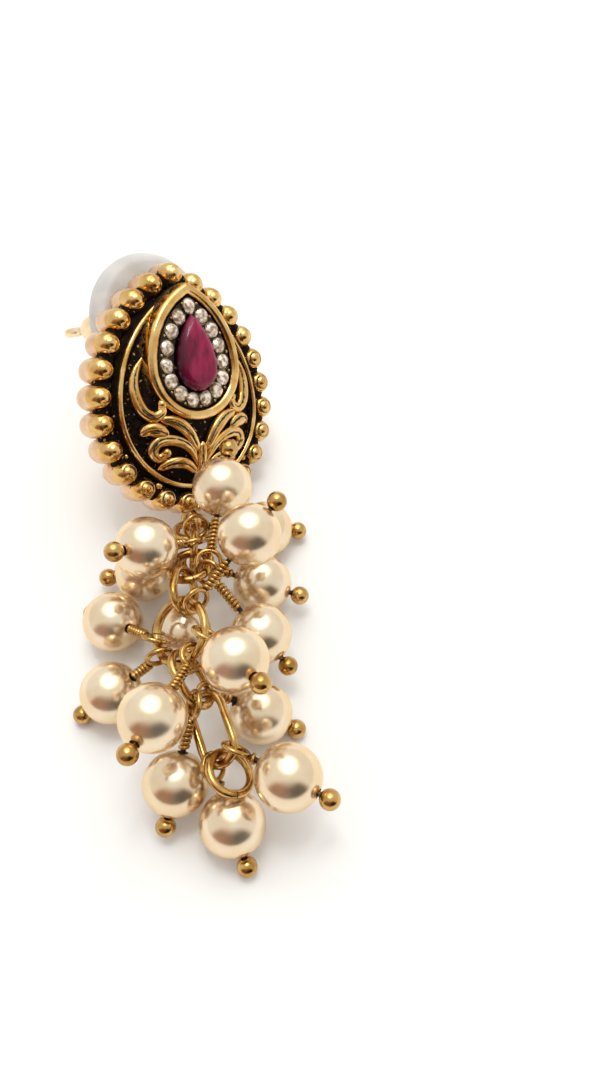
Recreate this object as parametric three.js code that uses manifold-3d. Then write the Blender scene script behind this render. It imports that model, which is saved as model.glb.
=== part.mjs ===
// Drop earring lying on a flat surface, in millimetres with +Z up.
// A cast teardrop medallion stands on its lower rim with its face leaning back. Its ear post and
// push-on clutch are behind it. A chain of jump rings runs forward from its lug and carries a
// cluster of drilled pearls, each on a ball-ended head pin that is looped round a ring.
import * as THREE from 'three';
import { mergeVertices } from 'three/addons/utils/BufferGeometryUtils.js';
import Module from 'manifold-3d';

const wasm = await Module();
wasm.setup();

// Medallion: the teardrop is one bottom half circle and two side arcs that meet at the tip
const rimHalfWidth = 10.0;
const rimTipRise = 13.6;
const beadDiameter = 2.55;
const beadPitch = 2.75;
const beadReachBack = 2.7;
const beadReachFront = 1.8;
const plateInset = 0.35;
const plateThickness = 2.5;
const recessEdgeLevel = -0.1;
const recessDomeRise = 3.2;
const bandInset = 1.75;
const bandWidth = 0.55;
const bandHeight = 0.75;
const reliefHeight = 0.3;

// Bezel and what is set in it
const bezelHalfWidth = 5.4;
const bezelTipRise = 8.2;
const bezelCentreY = 4.1;
const bezelWall = 0.9;
const bezelTop = 3.6;
const pocketFloor = 2.3;
const settingGap = 0.2;
const trayThickness = 0.75;
const haloStoneDiameter = 1.58;
const haloStonePitch = 1.6;
const rubyHalfWidth = 2.35;
const rubyTipRise = 5.4;
const rubyCentreY = 3.9;
const rubyCrownHeight = 1.05;
const rubyGirdleRise = 0.15;
const rubyPavilionHeight = 0.6;
const rubyTableShare = 0.62;

// Hang lug at the bottom of the medallion
const lugWire = 0.75;
const lugEyeDiameter = 1.9;
const lugDrop = 1.28;
const lugLevel = -1.0;

// Ear post and push-on clutch, along the post's own axis from the bead row's plane
const postDiameter = 1.1;
const postLength = 16.5;
const postLeanDegrees = 12;
const postSideOnFace = 1.1;
const postHeightOnFace = 9.6;
const postFootDiameter = 2.6;
const clutchBoreClearance = 0.25;
const clutchGapToBeads = 0.35;
const discDiameter = 14;
const discThickness = 3.2;
const barrelDiameter = 3.8;
const barrelLength = 7.8;
const barrelGap = 0.7;

// Chain, pearls and head pins
const linkWire = 0.8;
const linkGap = 0.25;
const pearlDiameter = 6;
const drillDiameter = 1.0;
const pinWire = 0.5;
const pinLoopInner = 1.9;
const pinLoopSlack = 0.25;
const pinBallDiameter = 1.9;
const pinBallGap = 0.1;
const wrapDiameter = 1.05;
const wrapPitch = 0.85;

// How the medallion stands: the way its face looks, and the way its tip points
const faceDirection = new THREE.Vector3(0.647, -0.466, 0.603).normalize();
const tipDirection = new THREE.Vector3(-0.094, 0.736, 0.67);

// Points where each link holds the next one, from the lug to the free end
const chainRoute = [
  { x: -0.4, y: 6.6, z: 2.0 },
  { x: -0.2, y: 3.4, z: 4.4 },
  { x: 0.3, y: 0.0, z: 6.6 },
  { x: 0.1, y: -3.9, z: 8.9 },
  { x: -0.1, y: -7.4, z: 9.7 },
  { x: -0.1, y: -12.2, z: 8.4 },
  { x: 2.2, y: -15.8, z: 7.2 },
  { x: 4.1, y: -21.0, z: 6.6 },
  { x: 5.6, y: -23.6, z: 6.3 },
].map(({ x, y, z }) => new THREE.Vector3(x, y, z));

// Outer width of each link, and how far it is turned from square to the link before it
const links = [
  { width: 4.6, twist: 0 },
  { width: 4.4, twist: 0 },
  { width: 4.4, twist: 10 },
  { width: 4.4, twist: 19 },
  { width: 6.8, twist: 11 },
  { width: 4.6, twist: -1 },
  { width: 4.4, twist: 0 },
  { width: 4.85, twist: 20 },
];

// Each pearl's centre, and the link and the angle round it where its pin is looped
const pearls = [
  { name: 'a', link: 2, angle: 270, x: 3.2, y: 5.4, z: 10.8 },
  { name: 'b', link: 4, angle: 147, x: 6.3, y: -2.0, z: 13.5 },
  { name: 'c', link: 1, angle: 98, x: 7.2, y: 5.4, z: 3.0 },
  { name: 'd', link: 1, angle: 49, x: -3.5, y: -2.5, z: 12.0 },
  { name: 'e', link: 1, angle: 278, x: -5.3, y: 0.0, z: 3.0 },
  { name: 'f', link: 1, angle: 270, x: 7.1, y: -1.3, z: 3.0 },
  { name: 'g', link: 4, angle: 278, x: -7.8, y: -5.8, z: 3.2 },
  { name: 'h', link: 4, angle: 82, x: 5.4, y: -14.4, z: 12.8 },
  { name: 'i', link: 2, angle: 278, x: 7.2, y: -8.3, z: 5.5 },
  { name: 'j', link: 4, angle: 311, x: -7.1, y: -13.5, z: 3.3 },
  { name: 'k', link: 4, angle: 41, x: -1.5, y: -19.2, z: 11.7 },
  { name: 'l', link: 5, angle: 290, x: 7.3, y: -15.4, z: 3.0 },
  { name: 'm', link: 5, angle: 49, x: -0.2, y: -22.5, z: 4.0 },
  { name: 'n', link: 6, angle: 303, x: 10.0, y: -23.1, z: 7.8 },
  { name: 'o', link: 6, angle: 41, x: 5.0, y: -25.8, z: 3.1 },
  { name: 'p', link: 5, angle: 256, x: -0.8, y: -7.1, z: 3.3 },
];

// Relief on one side of the face, as shares of the rim's half width: the line of each stroke,
// and its half width at the start, the middle and the end
const reliefStrokes = [
  {
    name: 'hook',
    line: [
      [0.51, 0.57], [0.62, 0.42], [0.67, 0.27], [0.66, 0.12],
      [0.61, 0.0], [0.52, -0.06], [0.44, -0.02], [0.43, 0.06],
    ],
    start: 0.02, middle: 0.066, end: 0.045, steps: 10,
  },
  {
    name: 'small_leaf',
    line: [[0.68, -0.23], [0.58, -0.18], [0.47, -0.2], [0.38, -0.27]],
    start: 0.025, middle: 0.08, end: 0.025, steps: 5,
  },
  {
    name: 'long_leaf',
    line: [[0.47, -0.09], [0.31, -0.13], [0.16, -0.26], [0.04, -0.47]],
    start: 0.035, middle: 0.07, end: 0.03, steps: 6,
  },
  {
    name: 'scroll_leaf',
    line: [
      [0.04, -0.62], [0.14, -0.43], [0.31, -0.32], [0.48, -0.31],
      [0.55, -0.4], [0.49, -0.48], [0.41, -0.43],
    ],
    start: 0.03, middle: 0.064, end: 0.045, steps: 9,
  },
  {
    name: 'low_leaf',
    line: [[0.5, -0.6], [0.35, -0.54], [0.19, -0.57], [0.04, -0.69]],
    start: 0.025, middle: 0.072, end: 0.03, steps: 5,
  },
];

const stemLine = [[0, -0.36], [0, -0.55], [0, -0.76]];
const stemHalfWidths = [0.03, 0.055, 0.07];

// Facet counts
const beadSides = 8;
const pearlSides = 12;
const pearlRows = 6;
const ballSides = 10;
const wireSides = 5;
const wrapSides = 5;
const linkSteps = 16;
const linkSides = 6;
const outlineSteps = 30;
const postSides = 8;
const discSides = 20;
const barrelSides = 12;
const reliefSides = 4;
const loopSteps = 10;
const ballRows = 5;
const stoneSides = 6;
const rubySides = 16;

// Materials
const metal = (color, roughness) => new THREE.MeshStandardMaterial({ color, roughness, metalness: 1 });
const antiqueGold = metal(0xc79a3e, 0.32);
const wireGold = metal(0xc8963c, 0.28);
const paleGold = metal(0xd9b877, 0.3);
const trayMetal = metal(0x3a3029, 0.5);
const rubyRed = new THREE.MeshStandardMaterial({ color: 0x8a1040, roughness: 0.15, metalness: 0 });
const pearlCream = new THREE.MeshStandardMaterial({ color: 0xe6c79c, roughness: 0.25, metalness: 0 });
const milkyWhite = new THREE.MeshStandardMaterial({ color: 0xded8d0, roughness: 0.45, metalness: 0 });

// A closed solid from a three.js geometry: only positions are kept, and shared corners are merged.
function solidFrom(geometry) {
  const bare = geometry.index ? geometry.toNonIndexed() : geometry.clone();
  bare.deleteAttribute('normal');
  bare.deleteAttribute('uv');
  const merged = mergeVertices(bare, 1e-4);
  return new wasm.Manifold(new wasm.Mesh({
    numProp: 3,
    vertProperties: new Float32Array(merged.attributes.position.array),
    triVerts: new Uint32Array(merged.index.array),
  }));
}

function joined(solids) {
  return solids.reduce((sum, next) => sum.add(next));
}

// A named mesh of a solid, carried by its own placement matrix.
function namedMesh(name, solid, material, placement) {
  const made = solid.getMesh();
  const geometry = new THREE.BufferGeometry();
  geometry.setAttribute('position', new THREE.BufferAttribute(made.vertProperties, 3));
  geometry.setIndex(new THREE.BufferAttribute(made.triVerts, 1));
  geometry.computeVertexNormals();
  const mesh = new THREE.Mesh(geometry, material);
  mesh.name = name;
  placement.decompose(mesh.position, mesh.quaternion, mesh.scale);
  return mesh;
}

// A grid of rows of points, closed round each row. Rows are capped to their middle points,
// or the last row joins the first one where the grid is a ring.
function gridGeometry(rows, ringOfRows) {
  const positions = rows.flat().flatMap((p) => [p.x, p.y, p.z]);
  const count = rows[0].length;
  const triangles = [];
  const lastRow = ringOfRows ? rows.length : rows.length - 1;
  for (let i = 0; i < lastRow; i += 1) {
    const here = i * count;
    const next = ((i + 1) % rows.length) * count;
    for (let j = 0; j < count; j += 1) {
      const k = (j + 1) % count;
      triangles.push(here + j, here + k, next + k, here + j, next + k, next + j);
    }
  }
  if (!ringOfRows) {
    [0, rows.length - 1].forEach((row) => {
      const middle = rows[row].reduce((sum, p) => sum.add(p), new THREE.Vector3()).divideScalar(count);
      const at = positions.length / 3;
      positions.push(middle.x, middle.y, middle.z);
      for (let j = 0; j < count; j += 1) {
        const a = row * count + j;
        const b = row * count + ((j + 1) % count);
        triangles.push(...(row === 0 ? [a, at, b] : [a, b, at]));
      }
    });
  }
  const geometry = new THREE.BufferGeometry();
  geometry.setAttribute('position', new THREE.Float32BufferAttribute(positions, 3));
  geometry.setIndex(triangles);
  return geometry;
}

// The teardrop outline, drawn inset from its named size: a point at a share of the way round,
// clockwise from the tip.
function teardrop(halfWidth, tipRise) {
  const sideRadius = (halfWidth ** 2 + tipRise ** 2) / (2 * halfWidth);
  const sideCentreX = halfWidth - sideRadius;
  const sideAngle = Math.asin(tipRise / sideRadius);
  const sideLength = sideRadius * sideAngle;
  const length = 2 * sideLength + Math.PI * halfWidth;
  const sideShare = sideLength / length;
  const point = (share, inset = 0) => {
    const turn = ((share % 1) + 1) % 1;
    if (turn > 0.5) {
      const twin = point(1 - turn, inset);
      return new THREE.Vector2(-twin.x, twin.y);
    }
    if (turn < sideShare) {
      const radius = sideRadius - inset;
      const tipAngle = Math.acos(-sideCentreX / radius);
      const angle = tipAngle * (1 - turn / sideShare);
      return new THREE.Vector2(sideCentreX + radius * Math.cos(angle), radius * Math.sin(angle));
    }
    const angle = ((turn - sideShare) / (1 - 2 * sideShare)) * Math.PI;
    const radius = halfWidth - inset;
    return new THREE.Vector2(radius * Math.cos(angle), -radius * Math.sin(angle));
  };
  return { point, length };
}

// A section of inset and height pairs, carried round a teardrop outline.
function teardropMoulding(outline, centreY, section) {
  const rows = [];
  for (let i = 0; i < outlineSteps; i += 1) {
    rows.push(section.map(([inset, height]) => {
      const p = outline.point(i / outlineSteps, inset);
      return new THREE.Vector3(p.x, p.y + centreY, height);
    }));
  }
  return solidFrom(gridGeometry(rows, true));
}

// A straight-sided teardrop block between two heights.
function teardropBlock(outline, centreY, inset, low, high) {
  const row = (height) => {
    const points = [];
    for (let i = 0; i < outlineSteps; i += 1) {
      const p = outline.point(-i / outlineSteps, inset);
      points.push(new THREE.Vector3(p.x, p.y + centreY, height));
    }
    return points;
  };
  return solidFrom(gridGeometry([row(low), row(high)], false));
}

// A turned piece: its profile of radius and height pairs is turned round the Z axis.
function turned(profile, sides) {
  const geometry = new THREE.LatheGeometry(profile.map(([r, h]) => new THREE.Vector2(r, h)), sides);
  geometry.rotateX(Math.PI / 2);
  return solidFrom(geometry);
}

// A round bar along a line of points, with a radius for each point. It is closed at its ends,
// or runs round as a ring.
function bar(points, radii, sides, side, ring) {
  const rows = points.map((p, i) => {
    const before = points[ring ? (i + points.length - 1) % points.length : Math.max(i - 1, 0)];
    const after = points[ring ? (i + 1) % points.length : Math.min(i + 1, points.length - 1)];
    const along = after.clone().sub(before).normalize();
    const across = side.clone().cross(along).normalize();
    const other = along.clone().cross(across);
    return Array.from({ length: sides }, (_, k) => {
      const angle = (2 * Math.PI * k) / sides;
      return p.clone()
        .addScaledVector(across, radii[i] * Math.cos(angle))
        .addScaledVector(other, radii[i] * Math.sin(angle));
    });
  });
  return solidFrom(gridGeometry(rows, ring));
}

const zAxis = new THREE.Vector3(0, 0, 1);
const rim = teardrop(rimHalfWidth, rimTipRise);
const bezel = teardrop(bezelHalfWidth, bezelTipRise);
const ruby = teardrop(rubyHalfWidth, rubyTipRise);

// Height of the domed floor of the recess, over a point of the face
function recessHeight(x, y) {
  const reach = y > 0 ? rimTipRise : rimHalfWidth;
  const share = (x / rimHalfWidth) ** 2 + (y / reach) ** 2;
  return recessEdgeLevel + recessDomeRise * Math.max(0, 1 - share);
}

function plate() {
  const shares = [1, 0.75, 0.5, 0.25];
  const rowAt = (scale, height) => {
    const points = [];
    for (let i = 0; i < outlineSteps; i += 1) {
      const p = rim.point(-i / outlineSteps, plateInset).multiplyScalar(scale);
      points.push(new THREE.Vector3(p.x, p.y, height === undefined ? recessHeight(p.x, p.y) : height));
    }
    return points;
  };
  return solidFrom(gridGeometry([rowAt(1, -plateThickness), ...shares.map((s) => rowAt(s))], false));
}

function rimBeads() {
  const r = beadDiameter / 2;
  const profile = [
    [0, -beadReachBack], [0.86 * r, -0.84 * beadReachBack], [1.03 * r, -0.5 * beadReachBack],
    [0.98 * r, 0.1 * beadReachFront], [0.72 * r, 0.72 * beadReachFront], [0, beadReachFront],
  ];
  const bead = turned(profile, beadSides);
  const count = 2 * Math.round(rim.length / beadPitch / 2 - 0.5) + 1;
  return Array.from({ length: count }, (_, i) => {
    const p = rim.point(i / count);
    return bead.translate([p.x, p.y, 0]);
  });
}

function innerBand() {
  const floor = -1;
  const upperSide = rim.point(0.5 * (rimTipRise / rim.length), bandInset);
  const top = recessHeight(upperSide.x, upperSide.y) + bandHeight;
  return teardropMoulding(rim, 0, [
    [bandInset - 0.5 * bandWidth, floor], [bandInset - 0.4 * bandWidth, top - 0.25 * bandHeight],
    [bandInset, top], [bandInset + 0.4 * bandWidth, top - 0.25 * bandHeight],
    [bandInset + 0.5 * bandWidth, floor],
  ]);
}

function relief() {
  const strokes = [];
  [1, -1].forEach((mirror) => {
    reliefStrokes.forEach(({ line, start, middle, end, steps }) => {
      const curve = new THREE.SplineCurve(line.map(([x, y]) => (
        new THREE.Vector2(mirror * x * rimHalfWidth, y * rimHalfWidth))));
      const points = [];
      const radii = [];
      for (let i = 0; i <= steps; i += 1) {
        const t = i / steps;
        const p = curve.getPoint(t);
        const ends = start * (1 - t) + end * t;
        radii.push(rimHalfWidth * (ends + (middle - ends) * Math.sin(Math.PI * t)));
        points.push(new THREE.Vector3(p.x, p.y, recessHeight(p.x, p.y) + reliefHeight));
      }
      strokes.push(bar(points, radii, reliefSides, zAxis, false));
    });
  });
  const stem = stemLine.map(([x, y]) => (
    new THREE.Vector3(x, y * rimHalfWidth, recessHeight(x, y * rimHalfWidth) + reliefHeight)));
  strokes.push(bar(stem, stemHalfWidths.map((s) => s * rimHalfWidth), reliefSides, zAxis, false));
  return strokes;
}

function bezelWallRing() {
  return teardropMoulding(bezel, bezelCentreY, [
    [-0.25 * bezelWall, 0], [-0.1 * bezelWall, bezelTop - 0.9 * bezelWall],
    [0.15 * bezelWall, bezelTop - 0.25 * bezelWall], [0.5 * bezelWall, bezelTop],
    [0.85 * bezelWall, bezelTop - 0.25 * bezelWall], [bezelWall, bezelTop - 0.6 * bezelWall],
    [bezelWall, 0],
  ]);
}

const lugEyeRadius = (lugEyeDiameter + lugWire) / 2;
const lugCentre = new THREE.Vector3(0, -(rimHalfWidth + beadDiameter / 2 + lugDrop), lugLevel);

function lug() {
  const eye = new THREE.TorusGeometry(lugEyeRadius, lugWire / 2, linkSides, 12);
  eye.rotateY(Math.PI / 2);
  eye.translate(lugCentre.x, lugCentre.y, lugCentre.z);
  const neckStart = new THREE.Vector3(0, lugCentre.y + lugEyeRadius, lugCentre.z);
  const neckEnd = new THREE.Vector3(0, -rimHalfWidth + 1, lugCentre.z);
  const neck = bar([neckStart, neckEnd], [0.55 * lugWire, 0.9 * lugWire], wrapSides, zAxis, false);
  return [solidFrom(eye), neck];
}

// The post's own frame: its foot is on the bead row's plane and Z runs back along the post
const postLean = THREE.MathUtils.degToRad(postLeanDegrees);
const postPlacement = new THREE.Matrix4()
  .makeTranslation(postSideOnFace, postHeightOnFace, 0)
  .multiply(new THREE.Matrix4().makeRotationY(Math.PI + postLean));

function post() {
  const r = postDiameter / 2;
  const end = plateThickness + postLength;
  const foot = postFootDiameter / 2;
  const root = 0.6 * plateThickness;
  const profile = [
    [0, root], [foot, root], [foot, plateThickness + 0.1], [r, plateThickness + 0.4],
    [r, end - 2.6 * postDiameter], [0.8 * r, end - 2.3 * postDiameter], [r, end - 2 * postDiameter],
    [r, end - 0.5 * postDiameter], [0.7 * r, end - 0.15 * postDiameter], [0.3 * r, end], [0, end],
  ];
  return turned(profile, postSides).transform(postPlacement.elements);
}

function medallion() {
  const pocket = teardropBlock(bezel, bezelCentreY, bezelWall, pocketFloor, bezelTop + 1);
  const body = joined([plate(), ...rimBeads(), innerBand(), ...relief(), bezelWallRing(), ...lug(), post()]);
  return body.subtract(pocket);
}

// Tray inside the bezel, with its ring of round stones
const trayBottom = pocketFloor + settingGap;
const trayTop = trayBottom + trayThickness;

function haloStone() {
  const r = haloStoneDiameter / 2;
  return turned([[0, -0.4 * r], [0.9 * r, -0.3 * r], [r, 0.1 * r], [0.6 * r, 0.62 * r], [0, 0.62 * r]], stoneSides);
}

function haloSetting() {
  const outerInset = bezelWall + settingGap;
  const tray = teardropBlock(bezel, bezelCentreY, outerInset, trayBottom, trayTop);
  const hole = teardropBlock(ruby, rubyCentreY, -settingGap, trayBottom - 1, trayTop + 1);
  const rowInset = outerInset + 0.55 * haloStoneDiameter;
  const rowShare = (bezelHalfWidth - rowInset) / bezelHalfWidth;
  const count = Math.round((bezel.length * rowShare) / haloStonePitch);
  const stone = haloStone();
  const stones = Array.from({ length: count }, (_, i) => {
    const p = bezel.point(i / count, rowInset);
    return stone.translate([p.x, p.y + bezelCentreY, trayTop]);
  });
  return joined([tray, ...stones]).subtract(hole);
}

function rubyStone() {
  const row = (scale, height) => Array.from({ length: rubySides }, (_, i) => {
    const p = ruby.point(-(i + 0.5) / rubySides).multiplyScalar(scale);
    return new THREE.Vector3(p.x, p.y + rubyCentreY, height);
  });
  const girdle = trayTop + rubyGirdleRise;
  return solidFrom(gridGeometry([
    row(0.7, girdle - rubyPavilionHeight), row(1, girdle),
    row(0.9, girdle + 0.6 * rubyCrownHeight), row(rubyTableShare, girdle + rubyCrownHeight),
  ], false));
}

// Clutch pieces, in the post's own frame
const boreRadius = postDiameter / 2 + clutchBoreClearance;
const discMiddle = (beadReachBack + clutchGapToBeads + discThickness / 2) / Math.cos(postLean);
const barrelStart = discMiddle + discThickness / 2 + barrelGap;

// The soft disc lies square to the plate, so the leaning post goes through it at a slant.
function clutchDisc() {
  const r = discDiameter / 2;
  const h = discThickness / 2;
  const pad = turned([
    [0, -h], [0.84 * r, -h], [0.96 * r, -0.6 * h], [r, 0], [0.96 * r, 0.6 * h], [0.84 * r, h], [0, h],
  ], discSides);
  const square = new THREE.Matrix4().makeTranslation(0, 0, discMiddle)
    .multiply(new THREE.Matrix4().makeRotationY(-postLean));
  const bore = turned([
    [0, discMiddle - discThickness], [boreRadius, discMiddle - discThickness],
    [boreRadius, discMiddle + discThickness], [0, discMiddle + discThickness],
  ], barrelSides);
  return pad.transform(square.elements).subtract(bore);
}

function clutchBarrel() {
  const r = barrelDiameter / 2;
  const h = barrelLength;
  return turned([
    [boreRadius, barrelStart], [1.35 * r, barrelStart], [1.35 * r, barrelStart + 0.1 * h],
    [r, barrelStart + 0.16 * h], [r, barrelStart + 0.55 * h], [0.88 * r, barrelStart + 0.85 * h],
    [0.68 * r, barrelStart + h], [boreRadius, barrelStart + h], [boreRadius, barrelStart],
  ], barrelSides);
}

// Placement of the medallion: the wire of its lug's eye holds the first link where the chain starts
const faceUp = tipDirection.clone().addScaledVector(faceDirection, -tipDirection.dot(faceDirection)).normalize();
const faceRight = faceUp.clone().cross(faceDirection);
const medallionTurn = new THREE.Matrix4().makeBasis(faceRight, faceUp, faceDirection);
const chainPull = chainRoute[1].clone().sub(chainRoute[0]).projectOnPlane(faceRight).normalize();
const eyeCentre = chainRoute[0].clone().addScaledVector(chainPull, (linkWire + linkGap) / 2 - lugEyeRadius);
const medallionPlace = eyeCentre.clone().sub(lugCentre.clone().applyMatrix4(medallionTurn));
const medallionPlacement = medallionTurn.clone().setPosition(medallionPlace);
const clutchPlacement = medallionPlacement.clone().multiply(postPlacement);

// Each link's own frame: X runs along the chain and Z is square to the ring's plane.
// Every link is turned a quarter from the one before, as linked rings lie, and then its twist.
function linkFrames() {
  let square = faceRight;
  return links.map(({ width, twist }, i) => {
    const from = chainRoute[i];
    const to = chainRoute[i + 1];
    const along = to.clone().sub(from).normalize();
    const flat = square.clone().addScaledVector(along, -square.dot(along)).normalize();
    const across = flat.applyAxisAngle(along, THREE.MathUtils.degToRad(twist));
    square = along.clone().cross(across);
    const middle = from.clone().add(to).multiplyScalar(0.5);
    const placement = new THREE.Matrix4().makeBasis(along, across, square).setPosition(middle);
    const halfLength = from.distanceTo(to) / 2 + (linkWire + linkGap) / 2;
    const bend = Math.min((width - linkWire) / 2, halfLength);
    return { placement, halfLength, bend };
  });
}

// A point on the middle line of a link's wire, in the link's own frame
function linkPoint({ halfLength, bend }, angle) {
  const straight = (halfLength - bend) * Math.sign(Math.round(1e6 * Math.cos(angle)));
  return new THREE.Vector3(bend * Math.cos(angle) + straight, bend * Math.sin(angle), 0);
}

function linkSolid(frame) {
  const points = Array.from({ length: linkSteps }, (_, i) => (
    linkPoint(frame, (2 * Math.PI * (i + 0.5)) / linkSteps)));
  return bar(points, points.map(() => linkWire / 2), linkSides, zAxis, true);
}

function pearlSolid() {
  const r = pearlDiameter / 2;
  const bore = drillDiameter / 2;
  const start = Math.asin(bore / r);
  const profile = Array.from({ length: pearlRows + 1 }, (_, i) => {
    const angle = Math.PI - start - ((Math.PI - 2 * start) * i) / pearlRows;
    return [r * Math.sin(angle), r * Math.cos(angle)];
  });
  return turned([...profile, profile[0]], pearlSides);
}

// A head pin, from its loop at the origin to its ball: Z runs out through the pearl
function headPinSolid(reach) {
  const wire = pinWire / 2;
  const loopRadius = (pinLoopInner + pinWire) / 2;
  const loop = new THREE.TorusGeometry(loopRadius, wire, wireSides, loopSteps);
  loop.rotateX(Math.PI / 2);
  loop.translate(0, 0, pinLoopSlack);
  const wrapsFrom = pinLoopSlack + loopRadius;
  const wrapsTo = reach - pearlDiameter / 2 - pinBallGap;
  const turns = Math.max(1, Math.round((wrapsTo - wrapsFrom) / wrapPitch));
  const pitch = (wrapsTo - wrapsFrom) / turns;
  const ball = pinBallDiameter / 2;
  const ballMiddle = reach + pearlDiameter / 2 + ball + pinBallGap;
  const profile = [[0, wrapsFrom], [0.34 * wrapDiameter, wrapsFrom]];
  for (let i = 0; i < turns; i += 1) {
    profile.push([0.5 * wrapDiameter, wrapsFrom + (i + 0.5) * pitch]);
    profile.push([0.36 * wrapDiameter, wrapsFrom + (i + 1) * pitch]);
  }
  profile.push([wire, wrapsTo], [wire, ballMiddle], [0, ballMiddle]);
  const head = new THREE.SphereGeometry(ball, ballSides, ballRows);
  head.rotateX(Math.PI / 2);
  head.translate(0, 0, ballMiddle);
  return joined([solidFrom(loop), turned(profile, wrapSides), solidFrom(head)]);
}

const earring = new THREE.Group();
earring.add(namedMesh('medallion', medallion(), antiqueGold, medallionPlacement));
earring.add(namedMesh('halo_setting', haloSetting(), trayMetal, medallionPlacement));
earring.add(namedMesh('ruby_stone', rubyStone(), rubyRed, medallionPlacement));
earring.add(namedMesh('clutch_disc', clutchDisc(), milkyWhite, clutchPlacement));
earring.add(namedMesh('clutch_barrel', clutchBarrel(), paleGold, clutchPlacement));

const frames = linkFrames();
frames.forEach((frame, i) => {
  earring.add(namedMesh(`link_${i + 1}`, linkSolid(frame), wireGold, frame.placement));
});

const pearl = pearlSolid();
pearls.forEach(({ name, link, angle, x, y, z }) => {
  const frame = frames[link];
  const turn = THREE.MathUtils.degToRad(angle);
  const hook = linkPoint(frame, turn).applyMatrix4(frame.placement);
  const alongWire = new THREE.Vector3(-Math.sin(turn), Math.cos(turn), 0).transformDirection(frame.placement);
  const centre = new THREE.Vector3(x, y, z);
  const reach = centre.distanceTo(hook);
  const out = centre.clone().sub(hook).normalize();
  const square = alongWire.addScaledVector(out, -alongWire.dot(out)).normalize();
  const side = square.clone().cross(out);
  const turnTo = new THREE.Matrix4().makeBasis(side, square, out);
  earring.add(namedMesh(`pearl_${name}`, pearl, pearlCream, turnTo.clone().setPosition(centre)));
  earring.add(namedMesh(`head_pin_${name}`, headPinSolid(reach), wireGold, turnTo.clone().setPosition(hook)));
});

// The whole rests on the plane z = 0 with its box centred on the origin
earring.updateMatrixWorld(true);
const box = new THREE.Box3().setFromObject(earring, true);
const middle = box.getCenter(new THREE.Vector3());
earring.position.set(-middle.x, -middle.y, -box.min.z);

export default earring;
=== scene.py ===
"""Dressed model of a drop earring that lies on a pale surface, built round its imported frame.

Sizes are in millimetres in the row frame's directions, and become metres when a mesh is made.
"""

import logging
import math
from collections.abc import Callable
from dataclasses import dataclass, field
from enum import Enum

import bmesh
import bpy
from mathutils import Matrix, Vector, noise

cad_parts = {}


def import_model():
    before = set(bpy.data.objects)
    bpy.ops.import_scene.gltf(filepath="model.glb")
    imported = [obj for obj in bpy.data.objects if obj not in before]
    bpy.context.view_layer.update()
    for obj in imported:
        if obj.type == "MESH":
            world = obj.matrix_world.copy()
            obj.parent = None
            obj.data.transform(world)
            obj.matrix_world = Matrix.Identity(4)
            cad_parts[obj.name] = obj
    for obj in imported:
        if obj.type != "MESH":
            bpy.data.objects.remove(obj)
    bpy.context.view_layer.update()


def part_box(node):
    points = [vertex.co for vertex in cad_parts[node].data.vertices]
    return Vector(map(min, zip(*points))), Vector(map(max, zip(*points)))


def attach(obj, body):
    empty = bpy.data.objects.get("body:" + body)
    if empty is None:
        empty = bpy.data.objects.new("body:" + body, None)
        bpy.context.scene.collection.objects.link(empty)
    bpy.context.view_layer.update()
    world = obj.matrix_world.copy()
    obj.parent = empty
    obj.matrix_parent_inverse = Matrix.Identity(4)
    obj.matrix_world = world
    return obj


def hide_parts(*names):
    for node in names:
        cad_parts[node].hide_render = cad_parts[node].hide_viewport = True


log = logging.getLogger("earring")

MILLIMETRE = 0.001
FULL_TURN = 2 * math.pi
Z_AXIS = Vector((0.0, 0.0, 1.0))
# The poles of a turned shape are this wide, so that every face has an area
POLE_RADIUS = 0.02

Rows = list[list[Vector]]
Tone = Callable[[int, int], float]
Profile = list[tuple[float, float, float]]
Colour = tuple[float, float, float]
Socket = bpy.types.NodeSocket


class Body(Enum):
    """The two bodies of the frame that pieces ride on."""

    EARRING = "earring"
    CLUTCH = "clutch"


class Slot(Enum):
    """The material slots."""

    ANTIQUE_GOLD = "antique_gold"
    WIRE_GOLD = "wire_gold"
    PALE_GOLD = "pale_gold"
    DARK_TRAY = "dark_tray"
    RUBY_RED = "ruby_red"
    PEARL_CREAM = "pearl_cream"
    MILKY_SILICONE = "milky_silicone"


def even(tone: float) -> Tone:
    """Gives every point the same tone."""
    return lambda _row, _place: tone


BRIGHT = even(0.0)


def circle(sides: int) -> list[tuple[float, float]]:
    """Gives the cosine and sine of evenly spaced angles of a full turn."""
    angles = [FULL_TURN * k / sides for k in range(sides)]
    return [(math.cos(angle), math.sin(angle)) for angle in angles]


def scaled(shares: Profile, radius: float, height: float) -> Profile:
    """Scales a profile from shares of a radius and a height, with its poles a hair wide."""
    return [(max(out * radius, POLE_RADIUS), rise * height, tone) for out, rise, tone in shares]


def rough(p: Vector, *layers: tuple[float, float]) -> float:
    """Adds up layers of noise at a point, each with its depth and its waves to a millimetre."""
    return sum(depth * noise.noise(p * waves) for depth, waves in layers)


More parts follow.
